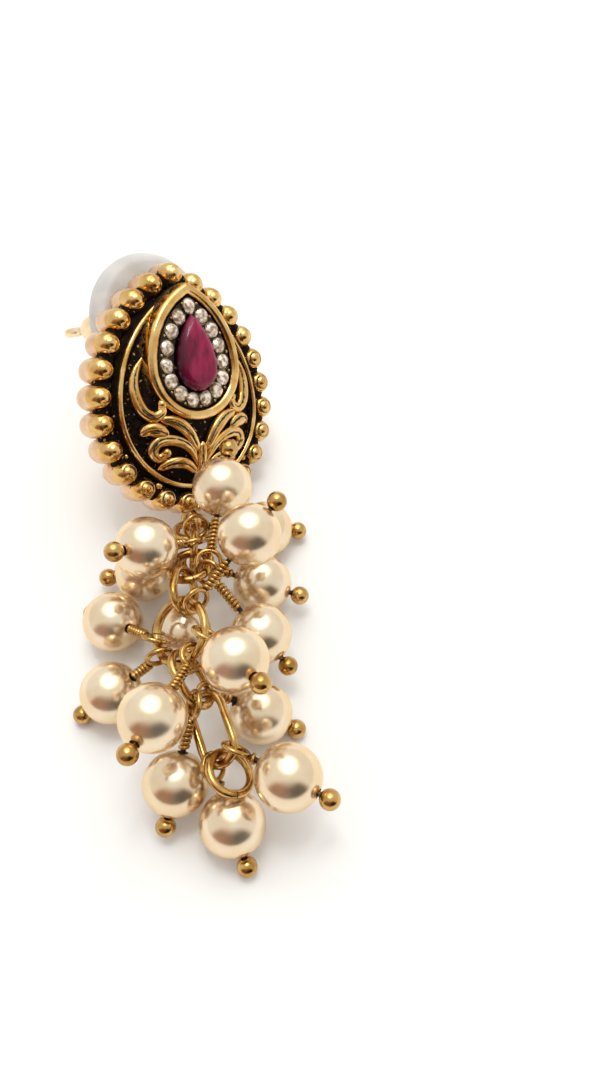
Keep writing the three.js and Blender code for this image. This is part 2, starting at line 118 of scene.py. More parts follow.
@dataclass
class Draft:
    """Points and faces of one piece while it is drawn, in millimetres.

    Each point has a tone, from 0 on bright high metal to 1 in a dark hollow; on the pear stone
    the tone is painted shade. Each face has the number of its material in the piece's list.
    """

    points: list[Vector] = field(default_factory=list)
    tones: list[float] = field(default_factory=list)
    faces: list[tuple[int, ...]] = field(default_factory=list)
    dress: list[int] = field(default_factory=list)

    def grid(self, rows: Rows, tone: Tone = BRIGHT, ring: bool = False, dress: int = 0) -> None:
        """Adds rows of points, each closed round, as one skin.

        Args:
            rows: rows with the same number of points each.
            tone: gives the tone of a point from its row and its place in the row.
            ring: joins the last row to the first one, and otherwise both ends are closed.
            dress: the number of the skin's material.
        """
        start = len(self.points)
        count = len(rows[0])
        for i, row in enumerate(rows):
            self.points.extend(row)
            self.tones.extend(tone(i, j) for j in range(count))
        for i in range(len(rows) if ring else len(rows) - 1):
            here = start + i * count
            following = start + ((i + 1) % len(rows)) * count
            for j in range(count):
                k = (j + 1) % count
                self.face((here + j, here + k, following + k, following + j), dress)
        if ring:
            return
        for i in (0, len(rows) - 1):
            at = len(self.points)
            self.points.append(sum(rows[i], Vector()) / count)
            self.tones.append(tone(i, 0))
            here = start + i * count
            for j in range(count):
                a, b = here + j, here + (j + 1) % count
                self.face((a, at, b) if i == 0 else (a, b, at), dress)

    def face(self, corners: tuple[int, ...], dress: int = 0) -> None:
        """Adds one face with its material number."""
        self.faces.append(corners)
        self.dress.append(dress)

    def turned(
        self, profile: Profile, sides: int, place: Matrix | None = None, dress: int = 0,
        hollow: bool = False,
    ) -> None:
        """Adds a profile turned round the Z axis.

        Args:
            profile: radius, height and tone, from the low end to the high one.
            sides: number of points round.
            place: where the turned piece stands.
            dress: the number of its material.
            hollow: the profile is closed on itself, round a bore.
        """
        place = place or Matrix()
        rows = []
        for radius, height, _tone in profile:
            rows.append([place @ Vector((radius * x, radius * y, height)) for x, y in circle(sides)])
        self.grid(rows, lambda i, _j: profile[i][2], hollow, dress)

    def bar(
        self, line: list[Vector], radii: list[float], sides: int, side: Vector, ring: bool = False,
        tone: Tone = BRIGHT, shape: Callable[[int, float], float] | None = None,
    ) -> None:
        """Adds a bar along a line of points.

        Args:
            line: its middle line.
            radii: a radius for each point of the line.
            sides: number of points round.
            side: a direction that is never along the line.
            ring: the bar runs round as a ring.
            tone: gives the tone of a point.
            shape: gives a share of the radius from the row and the angle round the bar.
        """
        rows = []
        last = len(line) - 1
        for i, at in enumerate(line):
            before = line[i - 1] if i or ring else line[0]
            after = line[(i + 1) % len(line)] if i < last or ring else line[last]
            along = (after - before).normalized()
            across = side.cross(along).normalized()
            other = along.cross(across)
            row = []
            for k, (x, y) in enumerate(circle(sides)):
                radius = radii[i] * (shape(i, FULL_TURN * k / sides) if shape else 1.0)
                row.append(at + radius * (x * across + y * other))
            rows.append(row)
        self.grid(rows, tone, ring)

    def ball(self, centre: Vector, radius: float, sides: int = 16, tone: float = 0.0) -> None:
        """Adds a round ball with its poles on the Z axis.

        Args:
            centre: its middle.
            radius: its radius.
            sides: number of points round.
            tone: the tone of all its points.
        """
        rows = sides // 2
        tiny = 0.02 * radius
        profile = []
        for i in range(rows + 1):
            angle = math.pi * i / rows
            profile.append((max(radius * math.sin(angle), tiny), -radius * math.cos(angle), tone))
        self.turned(profile, sides, Matrix.Translation(centre))

    def placed(self, place: Matrix) -> None:
        """Moves every point by a placement."""
        self.points = [place @ p for p in self.points]

    def piece(
        self, name: str, materials: list[bpy.types.Material], sharp: float = 35.0, flat: bool = False
    ) -> bpy.types.Object:
        """Makes the scene's object of this draft.

        Args:
            name: the piece's name.
            materials: its materials, in the order of the faces' numbers.
            sharp: edges bent by more than these degrees stay sharp.
            flat: every face is shaded flat, as cut facets are.

        Returns:
            The new object, in metres, at the origin.
        """
        mesh = bpy.data.meshes.new(name)
        mesh.from_pydata([p * MILLIMETRE for p in self.points], [], self.faces)
        for material in materials:
            mesh.materials.append(material)
        mesh.polygons.foreach_set("material_index", self.dress)
        layer = mesh.attributes.new("hollow", "FLOAT", "POINT")
        layer.data.foreach_set("value", self.tones)
        work = bmesh.new()
        work.from_mesh(mesh)
        bmesh.ops.recalc_face_normals(work, faces=work.faces)
        work.to_mesh(mesh)
        work.free()
        mesh.polygons.foreach_set("use_smooth", [not flat] * len(mesh.polygons))
        if not flat:
            mesh.set_sharp_from_angle(angle=math.radians(sharp))
        made = bpy.data.objects.new(name, mesh)
        bpy.context.scene.collection.objects.link(made)
        return made


def settle(piece: bpy.types.Object, body: Body, slot: Slot, *nodes: str) -> None:
    """Puts a finished piece on its body, and in its nodes' stead.

    Args:
        piece: the new object.
        body: the body it rides on.
        slot: the slot of its finish; not used.
        nodes: the CAD nodes that it stands for.
    """
    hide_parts(*nodes)
    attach(piece, body.value)
    log.info("%s rides on %s, %d faces", piece.name, body.value, len(piece.data.polygons))


class Wiring:
    """A node tree whose nodes are being joined."""

    def __init__(self, tree: bpy.types.NodeTree) -> None:
        """Starts on a material's or the world's node tree."""
        self.tree = tree
        self.nodes = tree.nodes

    def join(self, source: Socket, target: Socket) -> None:
        """Links one socket to another."""
        self.tree.links.new(source, target)

    def worked(self, operation: str, *values: Socket | float) -> Socket:
        """Works out a value from sockets or numbers.

        Args:
            operation: the math node's operation.
            values: what it works on, in the node's order.

        Returns:
            The result's socket.
        """
        made = self.nodes.new("ShaderNodeMath")
        made.operation = operation
        for value, target in zip(values, made.inputs):
            if isinstance(value, float):
                target.default_value = value
            else:
                self.join(value, target)
        return made.outputs["Value"]

    def sum(self, first: Socket, second: Socket, share: float = 1.0) -> Socket:
        """Adds a share of the second value to the first one."""
        return self.worked("MULTIPLY_ADD", second, share, first)

    def product(self, first: Socket, second: Socket) -> Socket:
        """Multiplies two values."""
        return self.worked("MULTIPLY", first, second)

    def spread(
        self, source: Socket, low: float, high: float, out_low: float = 0.0, out_high: float = 1.0
    ) -> Socket:
        """Maps a range of a value to another one, and holds it there.

        Args:
            source: the value.
            low: the range's low end.
            high: the range's high end.
            out_low: what the low end becomes.
            out_high: what the high end becomes.

        Returns:
            The mapped value's socket.
        """
        mapped = self.nodes.new("ShaderNodeMapRange")
        self.join(source, mapped.inputs["Value"])
        ends = {"From Min": low, "From Max": high, "To Min": out_low, "To Max": out_high}
        for name, value in ends.items():
            mapped.inputs[name].default_value = value
        return mapped.outputs["Result"]

    def shades(self, source: Socket, *stops: tuple[float, Colour]) -> Socket:
        """Turns a value into colours.

        Args:
            source: the value.
            stops: places from 0 to 1, and the colour at each.

        Returns:
            The colour socket.
        """
        ramp = self.nodes.new("ShaderNodeValToRGB")
        self.join(source, ramp.inputs["Fac"])
        elements = ramp.color_ramp.elements
        while len(elements) < len(stops):
            elements.new(0.5)
        for element, (place, colour) in zip(elements, stops):
            element.position = place
            element.color = (*colour, 1.0)
        return ramp.outputs["Color"]

    def mixed(self, share: Socket, low: Socket, high: Socket) -> Socket:
        """Mixes two colours by a share, on the mix node's sockets for colours.

        Args:
            share: how much of the second colour shows.
            low: the first colour.
            high: the second colour.

        Returns:
            The colour socket.
        """
        mix = self.nodes.new("ShaderNodeMix")
        mix.data_type = "RGBA"
        self.join(share, mix.inputs[0])
        self.join(low, mix.inputs[6])
        self.join(high, mix.inputs[7])
        return mix.outputs[2]


class Recipe(Wiring):
    """A material whose nodes are being joined."""

    def __init__(self, name: str) -> None:
        """Starts a node material with its shader and the object's own coordinates.

        Args:
            name: the material's name.
        """
        self.material = bpy.data.materials.new(name)
        self.material.use_nodes = True
        super().__init__(self.material.node_tree)
        self.shader = self.nodes["Principled BSDF"]
        self.place = self.nodes.new("ShaderNodeTexCoord").outputs["Object"]

    def set(self, **values: float) -> None:
        """Sets even values on the shader's own sockets, by name with underlines for spaces."""
        for name, value in values.items():
            self.shader.inputs[name.replace("_", " ")].default_value = value

    def feed(self, source: Socket, name: str) -> None:
        """Links a source to one of the shader's sockets."""
        self.join(source, self.shader.inputs[name])

    def colours(self, source: Socket, *stops: tuple[float, Colour]) -> None:
        """Colours the surface by a value, with a place from 0 to 1 for each colour."""
        self.feed(self.shades(source, *stops), "Base Color")

    def shine(
        self, spots: Socket, low: float, high: float, dark: Socket | None = None, more: float = 0.0
    ) -> None:
        """Varies the roughness over the noise's usual range, with more of it on dark places."""
        roughness = self.spread(spots, 0.3, 0.7, low, high)
        self.feed(self.sum(roughness, dark, more) if dark else roughness, "Roughness")

    def grain(self, size: float, detail: int = 3, stretch: Vector | None = None) -> Socket:
        """Gives noise whose spots are about this many millimetres across.

        Args:
            size: the size of a spot.
            detail: finer layers of the noise.
            stretch: scales the coordinates before the noise, for streaks.

        Returns:
            The noise's value socket.
        """
        spots = self.nodes.new("ShaderNodeTexNoise")
        spots.inputs["Scale"].default_value = 1 / (size * MILLIMETRE)
        spots.inputs["Detail"].default_value = detail
        source = self.place
        if stretch:
            mapping = self.nodes.new("ShaderNodeMapping")
            mapping.inputs["Scale"].default_value = stretch
            self.join(source, mapping.inputs["Vector"])
            source = mapping.outputs["Vector"]
        self.join(source, spots.inputs["Vector"])
        return spots.outputs["Fac"]

    def hollow(self) -> Socket:
        """Gives the tone that the draft wrote on the points: patina in hollows on metal, painted shade on
        the pear stone.

        Returns:
            The tone's socket.
        """
        tone = self.nodes.new("ShaderNodeAttribute")
        tone.attribute_name = "hollow"
        return tone.outputs["Fac"]

    def relief(self, height: Socket, depth: float) -> None:
        """Bumps the surface by a height, with its full depth in millimetres.

        Args:
            height: the height's socket.
            depth: the full depth in millimetres.
        """
        bump = self.nodes.new("ShaderNodeBump")
        bump.inputs["Strength"].default_value = 1.0
        bump.inputs["Distance"].default_value = depth * MILLIMETRE
        self.join(height, bump.inputs["Height"])
        self.feed(bump.outputs["Normal"], "Normal")


@dataclass(frozen=True)
class Finish:
    """A finish that makes one node material."""

    name: str

    def material(self) -> bpy.types.Material:
        """Makes the node material of this finish.

        Returns:
            The finished material.
        """
        recipe = Recipe(self.name)
        self.dress(recipe)
        return recipe.material

    def dress(self, recipe: Recipe) -> None:
        """Wires the colours, shine and relief of the finish."""
        raise NotImplementedError


@dataclass(frozen=True)
class WornGold(Finish):
    """Gold plating with dark patina left in its hollows."""

    gold: Colour = (0.62, 0.34, 0.09)
    pale: Colour = (0.84, 0.58, 0.24)
    patina: Colour = (0.014, 0.008, 0.004)
    roughness: float = 0.17
    wear: float = 0.5
    dent: float = 0.012
    scratch: float = 0.35
    cloud: float = 1.6

    def dress(self, recipe: Recipe) -> None:
        """Wires bright gold on high metal, and patina where the tone and the wear allow it.

        Args:
            recipe: the material whose nodes are joined.
        """
        fine = recipe.grain(self.scratch, 5)
        broad = recipe.grain(self.cloud, 2)
        tone = recipe.sum(recipe.sum(recipe.hollow(), fine), broad, 0.5)
        dark = recipe.spread(tone, self.wear + 0.62, self.wear + 0.86)
        bright = recipe.shades(broad, (0.35, self.gold), (0.7, self.pale))
        light_patina = tuple(3 * part for part in self.patina)
        grime = recipe.shades(fine, (0.4, self.patina), (0.75, light_patina))
        recipe.feed(recipe.mixed(dark, bright, grime), "Base Color")
        recipe.feed(recipe.spread(dark, 0, 1, 1.0, 0.35), "Metallic")
        recipe.shine(fine, self.roughness - 0.06, self.roughness + 0.08, dark, 0.35)
        recipe.relief(fine, self.dent)


@dataclass(frozen=True)
class SatinMetal(Finish):
    """Plain plated metal with a soft, slightly uneven shine."""

    colour: Colour
    second: Colour
    roughness: float
    cloud: float = 1.2
    scratch: float = 0.3
    dent: float = 0.006

    def dress(self, recipe: Recipe) -> None:
        """Wires two close colours and a soft shine.

        Args:
            recipe: the material whose nodes are joined.
        """
        broad = recipe.grain(self.cloud)
        recipe.colours(broad, (0.35, self.colour), (0.68, self.second))
        recipe.shine(broad, self.roughness - 0.05, self.roughness + 0.08)
        recipe.set(Metallic=1.0)
        recipe.relief(recipe.grain(self.scratch, 4), self.dent)


@dataclass(frozen=True)
class BlackenedFloor(Finish):
    """The dark, rough floor of the recess, with a few bright specks of worn metal."""

    dark: Colour = (0.003, 0.002, 0.0015)
    brown: Colour = (0.018, 0.009, 0.004)
    speck: Colour = (0.55, 0.36, 0.14)
    lump: float = 0.5
    speck_size: float = 0.42
    dent: float = 0.12

    def dress(self, recipe: Recipe) -> None:
        """Wires the black crust and its specks.

        Args:
            recipe: the material whose nodes are joined.
        """
        crust = recipe.grain(self.lump, 6)
        specks = recipe.grain(self.speck_size, 1)
        colour = recipe.shades(crust, (0.42, self.dark), (0.62, self.brown))
        bright = recipe.shades(crust, (0.0, self.speck), (1.0, self.speck))
        share = recipe.spread(specks, 0.66, 0.72)
        recipe.feed(recipe.mixed(share, colour, bright), "Base Color")
        recipe.feed(recipe.spread(share, 0, 1, 0.25, 1.0), "Metallic")
        recipe.shine(crust, 0.45, 0.8)
        recipe.set(Specular_IOR_Level=0.1)
        recipe.relief(crust, self.dent)


@dataclass(frozen=True)
class FoiledStone(Finish):
    """A small faceted clear stone with foil behind it."""

    smoke: Colour = (0.34, 0.24, 0.15)
    champagne: Colour = (0.72, 0.56, 0.39)
    # Painted glints: white is the painted glint colour, and glint is the size of its spots
    white: Colour = (1.0, 0.94, 0.86)
    glint: float = 0.45

    def dress(self, recipe: Recipe) -> None:
        """Wires smoky and champagne tints and painted white glints under a clear skin.

        Args:
            recipe: the material whose nodes are joined.
        """
        tint_and_glint_spots = recipe.grain(self.glint, 1)
        # Painted highlight: white glints on the brightest spots of the noise
        recipe.colours(tint_and_glint_spots, (0.36, self.smoke), (0.48, self.champagne), (0.62, self.white))
        recipe.shine(tint_and_glint_spots, 0.05, 0.16)
        recipe.set(Metallic=0.3, Coat_Weight=1.0, Coat_Roughness=0.02)


@dataclass(frozen=True)
class RubyGlass(Finish):
    """Deep magenta glass lit from its foil, with painted lighter highlight streaks and painted shade at its
    girdle and left side.
    """

    # Painted shade: deep is the dark colour at the girdle and on the left side
    deep: Colour = (0.045, 0.003, 0.018)
    body: Colour = (0.125, 0.002, 0.024)
    # Painted highlight: the lighter streaks stand for light from the foil
    painted_highlight: Colour = (0.45, 0.011, 0.085)
    cloud: float = 1.3
    stretch: Vector = Vector((1.4, 0.45, 0.45))

    def dress(self, recipe: Recipe) -> None:
        """Wires the painted highlight streaks and the painted shade, deeper towards the girdle and the left
        side.

        Args:
            recipe: the material whose nodes are joined.
        """
        cloud = recipe.grain(self.cloud, stretch=self.stretch)
        # The glass's body colour with painted highlight streaks
        body_and_highlight = recipe.shades(cloud, (0.35, self.body), (0.68, self.painted_highlight))
        # Painted shade colours for the girdle and the left side
        edge = recipe.shades(cloud, (0.3, self.deep), (0.9, self.body))
        # Painted shade mask, from the tone that the pear's draft wrote
        share = recipe.spread(recipe.sum(recipe.hollow(), cloud, 0.35), 0.45, 1.0)
        recipe.feed(recipe.mixed(share, body_and_highlight, edge), "Base Color")
        recipe.shine(cloud, 0.22, 0.34)
        recipe.set(Coat_Weight=0.35, Coat_Roughness=0.04, Specular_IOR_Level=0.15)


@dataclass(frozen=True)
class PearlLustre(Finish):
    """Cream pearl with a soft metallic lustre under a clear skin."""

    cream: Colour = (0.83, 0.65, 0.43)
    light: Colour = (0.89, 0.75, 0.56)
    edge: Colour = (1.0, 0.82, 0.55)
    cloud: float = 2.4
    pore: float = 0.5
    dent: float = 0.002

    def dress(self, recipe: Recipe) -> None:
        """Wires the cream lustre and its clear skin.

        Args:
            recipe: the material whose nodes are joined.
        """
        cloud = recipe.grain(self.cloud, 2)
        recipe.colours(cloud, (0.35, self.cream), (0.68, self.light))
        recipe.shine(cloud, 0.19, 0.25)
        recipe.set(Metallic=0.86, Specular_Tint=(*self.edge, 1.0))
        recipe.set(Coat_Weight=0.35, Coat_Roughness=0.08)
        recipe.relief(recipe.grain(self.pore), self.dent)


@dataclass(frozen=True)
class MilkySilicone(Finish):
    """Soft translucent white silicone."""

    clear: Colour = (0.66, 0.635, 0.61)
    milk: Colour = (0.78, 0.755, 0.73)
    cloud: float = 2.5
    pore: float = 0.6
    dent: float = 0.004

    def dress(self, recipe: Recipe) -> None:
        """Wires a milky body that lets some light in.

        Args:
            recipe: the material whose nodes are joined.
        """
        cloud = recipe.grain(self.cloud)
        recipe.colours(cloud, (0.35, self.clear), (0.7, self.milk))
        recipe.shine(cloud, 0.42, 0.55)
        recipe.set(Transmission_Weight=0.15, Subsurface_Weight=0.2, Subsurface_Scale=MILLIMETRE)
        recipe.relief(recipe.grain(self.pore, 4), self.dent)


@dataclass(frozen=True)
class Teardrop:
    """An outline of one bottom half circle and two side arcs that meet at the tip."""

    half_width: float
    tip_rise: float
    centre_y: float = 0.0

    @property
    def side_radius(self) -> float:
        """The radius of a side arc."""
        return (self.half_width**2 + self.tip_rise**2) / (2 * self.half_width)

    @property
    def side_length(self) -> float:
        """The length of one side arc."""
        return self.side_radius * math.asin(self.tip_rise / self.side_radius)

    @property
    def length(self) -> float:
        """The length of the whole outline."""
        return 2 * self.side_length + math.pi * self.half_width

    def point(self, share: float, inset: float = 0.0) -> Vector:
        """Gives a point of the outline.

        Args:
            share: the share of the way round, clockwise from the tip.
            inset: how far inside the outline.

        Returns:
            The point at height 0, without the outline's own centre_y.
        """
        turn = share % 1
        if turn > 0.5:
            twin = self.point(1 - turn, inset)
            return Vector((-twin.x, twin.y, 0.0))
        side_share = self.side_length / self.length
        side_centre = self.half_width - self.side_radius
        if turn < side_share:
            radius = self.side_radius - inset
            angle = math.acos(-side_centre / radius) * (1 - turn / side_share)
            return Vector((side_centre + radius * math.cos(angle), radius * math.sin(angle), 0.0))
        angle = (turn - side_share) / (1 - 2 * side_share) * math.pi
        radius = self.half_width - inset
        return Vector((radius * math.cos(angle), -radius * math.sin(angle), 0.0))

    def at(self, share: float, inset: float, height: float) -> Vector:
        """Gives a point of the outline at a height over the face."""
        return self.point(share, inset) + Vector((0.0, self.centre_y, height))


# Sizes that more than one sub-assembly is built on
RIM = Teardrop(10.0, 13.6)
BEZEL = Teardrop(5.4, 8.2, 4.1)
BEZEL_WALL = 0.9
BEAD_DIAMETER = 2.55
BEAD_REACH_BACK = 2.7
LINK_WIRE = 0.8
LINK_GAP = 0.25


@dataclass(frozen=True)
class Pose:
    """How the medallion stands, and where the chain runs."""

    face_direction: Vector = Vector((0.647, -0.466, 0.603)).normalized()
    tip_direction: Vector = Vector((-0.094, 0.736, 0.67))
    lug_wire: float = 0.75
    lug_eye_diameter: float = 1.9
    lug_drop: float = 1.28
    lug_level: float = -1.0
    post_lean: float = math.radians(12)
    post_side: float = 1.1
    post_height: float = 9.6

    @property
    def lug_eye_radius(self) -> float:
        """The radius of the middle line of the lug's eye."""
        return (self.lug_eye_diameter + self.lug_wire) / 2

    @property
    def lug_centre(self) -> Vector:
        """The middle of the lug's eye, on the medallion's face."""
        drop = RIM.half_width + BEAD_DIAMETER / 2 + self.lug_drop
        return Vector((0.0, -drop, self.lug_level))

    @property
    def face_up(self) -> Vector:
        """The direction of the tip, square to the face's direction."""
        slope = self.tip_direction.dot(self.face_direction)
        return (self.tip_direction - slope * self.face_direction).normalized()

    @property
    def face_right(self) -> Vector:
        """The direction to the right on the face."""
        return self.face_up.cross(self.face_direction)

    def medallion(self, start: Vector, following: Vector) -> Matrix:
        """Gives the medallion's placement, hung by its lug on the chain.

        Args:
            start: where the chain begins.
            following: where its first link holds the second one.

        Returns:
            The placement matrix.
        """
        turn = Matrix((self.face_right, self.face_up, self.face_direction)).transposed()
        pull = following - start
        pull = (pull - pull.dot(self.face_right) * self.face_right).normalized()
        eye = start + pull * ((LINK_WIRE + LINK_GAP) / 2 - self.lug_eye_radius)
        return Matrix.Translation(eye - turn @ self.lug_centre) @ turn.to_4x4()

    def post(self) -> Matrix:
        """Gives the post's placement on the medallion."""
        foot = Matrix.Translation((self.post_side, self.post_height, 0.0))
        return foot @ Matrix.Rotation(math.pi + self.post_lean, 4, "Y")


@dataclass(frozen=True)
class Stroke:
    """One line of the relief, in shares of the rim's half width, with its half widths."""

    line: tuple[tuple[float, float], ...]
    start: float
    middle: float
    end: float
    curled: bool = False

    def point(self, share: float) -> tuple[float, float]:
        """Gives a point of the smooth curve through the line's points.

        Args:
            share: the place along the line, from 0 at its start to 1 at its end.

        Returns:
            The point's x and y, in shares of the rim's half width.
        """
        last = len(self.line) - 1
        place = last * share
        i = min(int(place), last)
        t = place - i
        p = [Vector(self.line[max(0, min(last, i + step))]) for step in (-1, 0, 1, 2)]
        v0 = (p[2] - p[0]) / 2
        v1 = (p[3] - p[1]) / 2
        cubic = (2 * p[1] - 2 * p[2] + v0 + v1) * t**3
        square = (-3 * p[1] + 3 * p[2] - 2 * v0 - v1) * t**2
        made = cubic + square + v0 * t + p[1]
        return made.x, made.y

    def half_width(self, share: float) -> float:
        """Gives the half width at a share of the line."""
        ends = self.start * (1 - share) + self.end * share
        return ends + (self.middle - ends) * math.sin(math.pi * share)


HOOK = Stroke(
    (
        (0.51, 0.57), (0.62, 0.42), (0.67, 0.27), (0.66, 0.12),
        (0.61, 0.0), (0.52, -0.06), (0.44, -0.02), (0.43, 0.06),
    ),
    0.02, 0.066, 0.045, True,
)
SMALL_LEAF = Stroke(((0.68, -0.23), (0.58, -0.18), (0.47, -0.2), (0.38, -0.27)), 0.025, 0.08, 0.025)
LONG_LEAF = Stroke(((0.47, -0.09), (0.31, -0.13), (0.16, -0.26), (0.04, -0.47)), 0.035, 0.07, 0.03)
SCROLL_LEAF = Stroke(
    (
        (0.04, -0.62), (0.14, -0.43), (0.31, -0.32), (0.48, -0.31),
        (0.55, -0.4), (0.49, -0.48), (0.41, -0.43),
    ),
    0.03, 0.064, 0.045, True,
)
LOW_LEAF = Stroke(((0.5, -0.6), (0.35, -0.54), (0.19, -0.57), (0.04, -0.69)), 0.025, 0.072, 0.03)
STEM = Stroke(((0.0, -0.36), (0.0, -0.55), (0.0, -0.76)), 0.03, 0.055, 0.07)

# A bead's profiles: shares of its radius and of its reach, and the tone
BEAD_BACK: Profile = [
    (0.0, -1.0, 0.0), (0.4, -0.985, 0.0), (0.72, -0.91, 0.0), (0.94, -0.76, 0.0),
    (1.04, -0.55, 0.0), (1.05, -0.36, 0.0), (1.04, -0.15, 0.0), (1.015, 0.0, 0.1),
]
BEAD_SHOULDER: Profile = [
    (1.015, 0.0, 0.0), (1.01, 0.05, 0.0), (1.0, 0.12, 0.0), (0.985, 0.24, 0.0),
    (0.94, 0.4, 0.0), (0.86, 0.56, 0.0), (0.75, 0.7, 0.0),
]
BEAD_BUTTON: Profile = [(0.32, 0.94, 0.0), (0.16, 0.985, 0.0), (0.0, 1.0, 0.0)]


@dataclass
class Medallion:
    """The cast medallion with its beads, band, relief, bezel, lug and ear post."""

    place: Matrix
    pose: Pose
    bead_pitch: float = 2.75
    bead_reach_front: float = 1.8
    lower_beads: range = range(5, 17)
    grime_inset: float = 0.45
    grime_level: float = 0.0
    grime_radius: float = 1.0
    grain_level: float = 0.8
    grain_spots: tuple[tuple[float, float, float], ...] = (
        (14.5, 1.05, 0.46), (12.5, -0.75, 0.42), (16.5, 1.0, 0.3), (11.5, 1.0, 0.34), (9.5, 1.0, 0.36),
    )
    plate_inset: float = 0.35
    plate_thickness: float = 2.5
    plate_edge: float = 0.12
    recess_edge: float = -0.1
    recess_dome: float = 3.2
    band_inset: float = 1.75
    band_width: float = 0.55
    band_height: float = 0.75
    relief_height: float = 0.3
    engraving: float = 0.3
    engraving_angle: float = 104.0
    engraving_spread: float = 15.0
    bezel_top: float = 3.6
    post_diameter: float = 1.1
    post_length: float = 16.5
    post_foot: float = 2.6
    steps: int = 144

    @property
    def bead_count(self) -> int:
        """How many beads stand on the rim, an odd number so that none is at its foot."""
        return 2 * round(RIM.length / self.bead_pitch / 2 - 0.5) + 1

    def recess(self, x: float, y: float) -> float:
        """Gives the height of the recess's domed floor over a point of the face.

        Args:
            x: the point's place across the face.
            y: the point's place along the face.

        Returns:
            The floor's height in millimetres.
        """
        reach = RIM.tip_rise if y > 0 else RIM.half_width
        share = (x / RIM.half_width) ** 2 + (y / reach) ** 2
        return self.recess_edge + self.recess_dome * max(0.0, 1 - share)

    def plate(self) -> Draft:
        """Draws the plate with its rough domed recess and its plain flat back.

        Returns:
            The plate's draft.
        """
        rings = 26

        def row(scale: float, height: float | None = None) -> list[Vector]:
            """Gives one ring of the plate, on the recess where no height is given.

            Args:
                scale: the ring's share of the plate's outline.
                height: the ring's height, or None on the recess.

            Returns:
                The ring's points.
            """
            points = []
            for i in range(self.steps):
                p = RIM.point(-i / self.steps, self.plate_inset) * scale
                level = self.recess(p.x, p.y) if height is None else height
                if height is None and 0.05 < scale < 0.97:
                    level += rough(p, (0.07, 1.9), (0.04, 4.3))
                points.append(Vector((p.x, p.y, level)))
            return points

        rows = [row(0.985, -self.plate_thickness), row(1.0, self.plate_edge - self.plate_thickness)]
        rows += [row(1.0 - i / rings) for i in range(rings)]
        draft = Draft()
        draft.grid(rows, lambda i, _j: (0.1, 0.35, 0.9)[min(i, 2)])
        total = len(draft.faces)
        back = (range(2 * self.steps), range(total - 2 * self.steps, total - self.steps))
        draft.dress = [0 if number in back[0] or number in back[1] else 1 for number in range(total)]
        return draft

    def beads(self) -> Draft:
        """Draws the rim's beads: a smooth bullet back, a groove, and a ringed front with a button.

        Returns:
            The draft of all the beads.
        """
        draft = Draft()
        r = BEAD_DIAMETER / 2
        fore = self.bead_reach_front
        for i in range(self.bead_count):
            centre = RIM.point(i / self.bead_count)
            ahead = RIM.point((i + 0.3) / self.bead_count) - RIM.point((i - 0.3) / self.bead_count)
            inward = Vector((ahead.y, -ahead.x, 0.0)).normalized()
            ring = 1.0 if i in self.lower_beads else 0.45
            groove = [
                (0.64, 0.79, 0.1 * ring), (0.57, 0.83 - 0.04 * ring, 0.55 * ring),
                (0.49, 0.87 - 0.06 * ring, 0.5 * ring), (0.43, 0.88, 0.1 * ring),
            ]
            at = Matrix.Translation(centre)
            draft.turned(scaled(BEAD_BACK, r, BEAD_REACH_BACK), 24, at, 1)
            first = len(draft.points)
            draft.turned(scaled(BEAD_SHOULDER + groove + BEAD_BUTTON, r, fore), 24, at)
            for number in range(first, len(draft.points)):
                p = draft.points[number] - centre
                low = max(0.0, 1 - p.z / fore)
                inside = max(0.0, p.dot(inward) / r - 0.1)
                beside = max(0.0, abs(p.dot(inward.cross(Z_AXIS))) / r - 0.72)
                draft.tones[number] += (1.7 * inside + 2.4 * beside) * low
        return draft

    def grime(self) -> Draft:
        """Draws the rough black crust that fills the valleys between the beads.

        Returns:
            The crust's draft.
        """
        draft = Draft()
        steps = 3 * self.steps
        line = []
        radii = []
        for i in range(steps):
            p = RIM.point(i / steps, self.grime_inset)
            line.append(Vector((p.x, p.y, self.grime_level)))
            radii.append(self.grime_radius * (1 + rough(p, (0.16, 1.7), (0.08, 5.1))))
        draft.bar(line, radii, 18, Z_AXIS, True, even(1.0))
        return draft

    def grains(self) -> Draft:
        """Draws the small grains between the lower beads, each with its place, inset and radius.

        Returns:
            The draft of all the grains.
        """
        draft = Draft()
        for place, inset, radius in self.grain_spots:
            p = RIM.point(place / self.bead_count, inset)
            draft.ball(Vector((p.x, p.y, self.grain_level)), radius, 14)
        return draft

    def band(self) -> Draft:
        """Draws the thin raised wire inside the rim.

        Returns:
            The wire's draft.
        """
        draft = Draft()
        level = RIM.point(0.5 * (RIM.tip_rise / RIM.length), self.band_inset)
        top = self.recess(level.x, level.y) + self.band_height
        half = self.band_width / 2
        section = [(-half, -1.0, 0.9), (-half, top - 0.45, 0.8)]
        for k in range(9):
            angle = math.pi * k / 8
            section.append((-half * math.cos(angle), top - half + half * math.sin(angle), 0.0))
        section += [(half, top - 0.45, 0.6), (half, -1.0, 0.9)]
        self.moulding(draft, RIM, self.band_inset, section)
        return draft

    def moulding(self, draft: Draft, outline: Teardrop, inset: float, section: Profile) -> None:
        """Carries a section round an outline.

        Args:
            draft: what it is drawn in.
            outline: the outline it follows.
            inset: how far inside the outline the section's own zero is.
            section: inset, height and tone of each of its points.
        """
        rows = []
        for i in range(self.steps):
            share = i / self.steps
            rows.append([outline.at(share, inset + move, height) for move, height, _tone in section])
        draft.grid(rows, lambda _i, j: section[j][2], True)

    def relief(self) -> Draft:
        """Draws the mirrored leaves and hooks with their engraved lines, and the stem.

        Returns:
            The draft of all the strokes.
        """
        draft = Draft()
        for mirror in (1, -1):
            for stroke in (HOOK, SMALL_LEAF, LONG_LEAF, SCROLL_LEAF, LOW_LEAF):
                self.stroke(draft, stroke, mirror)
        self.stroke(draft, STEM, 1)
        return draft

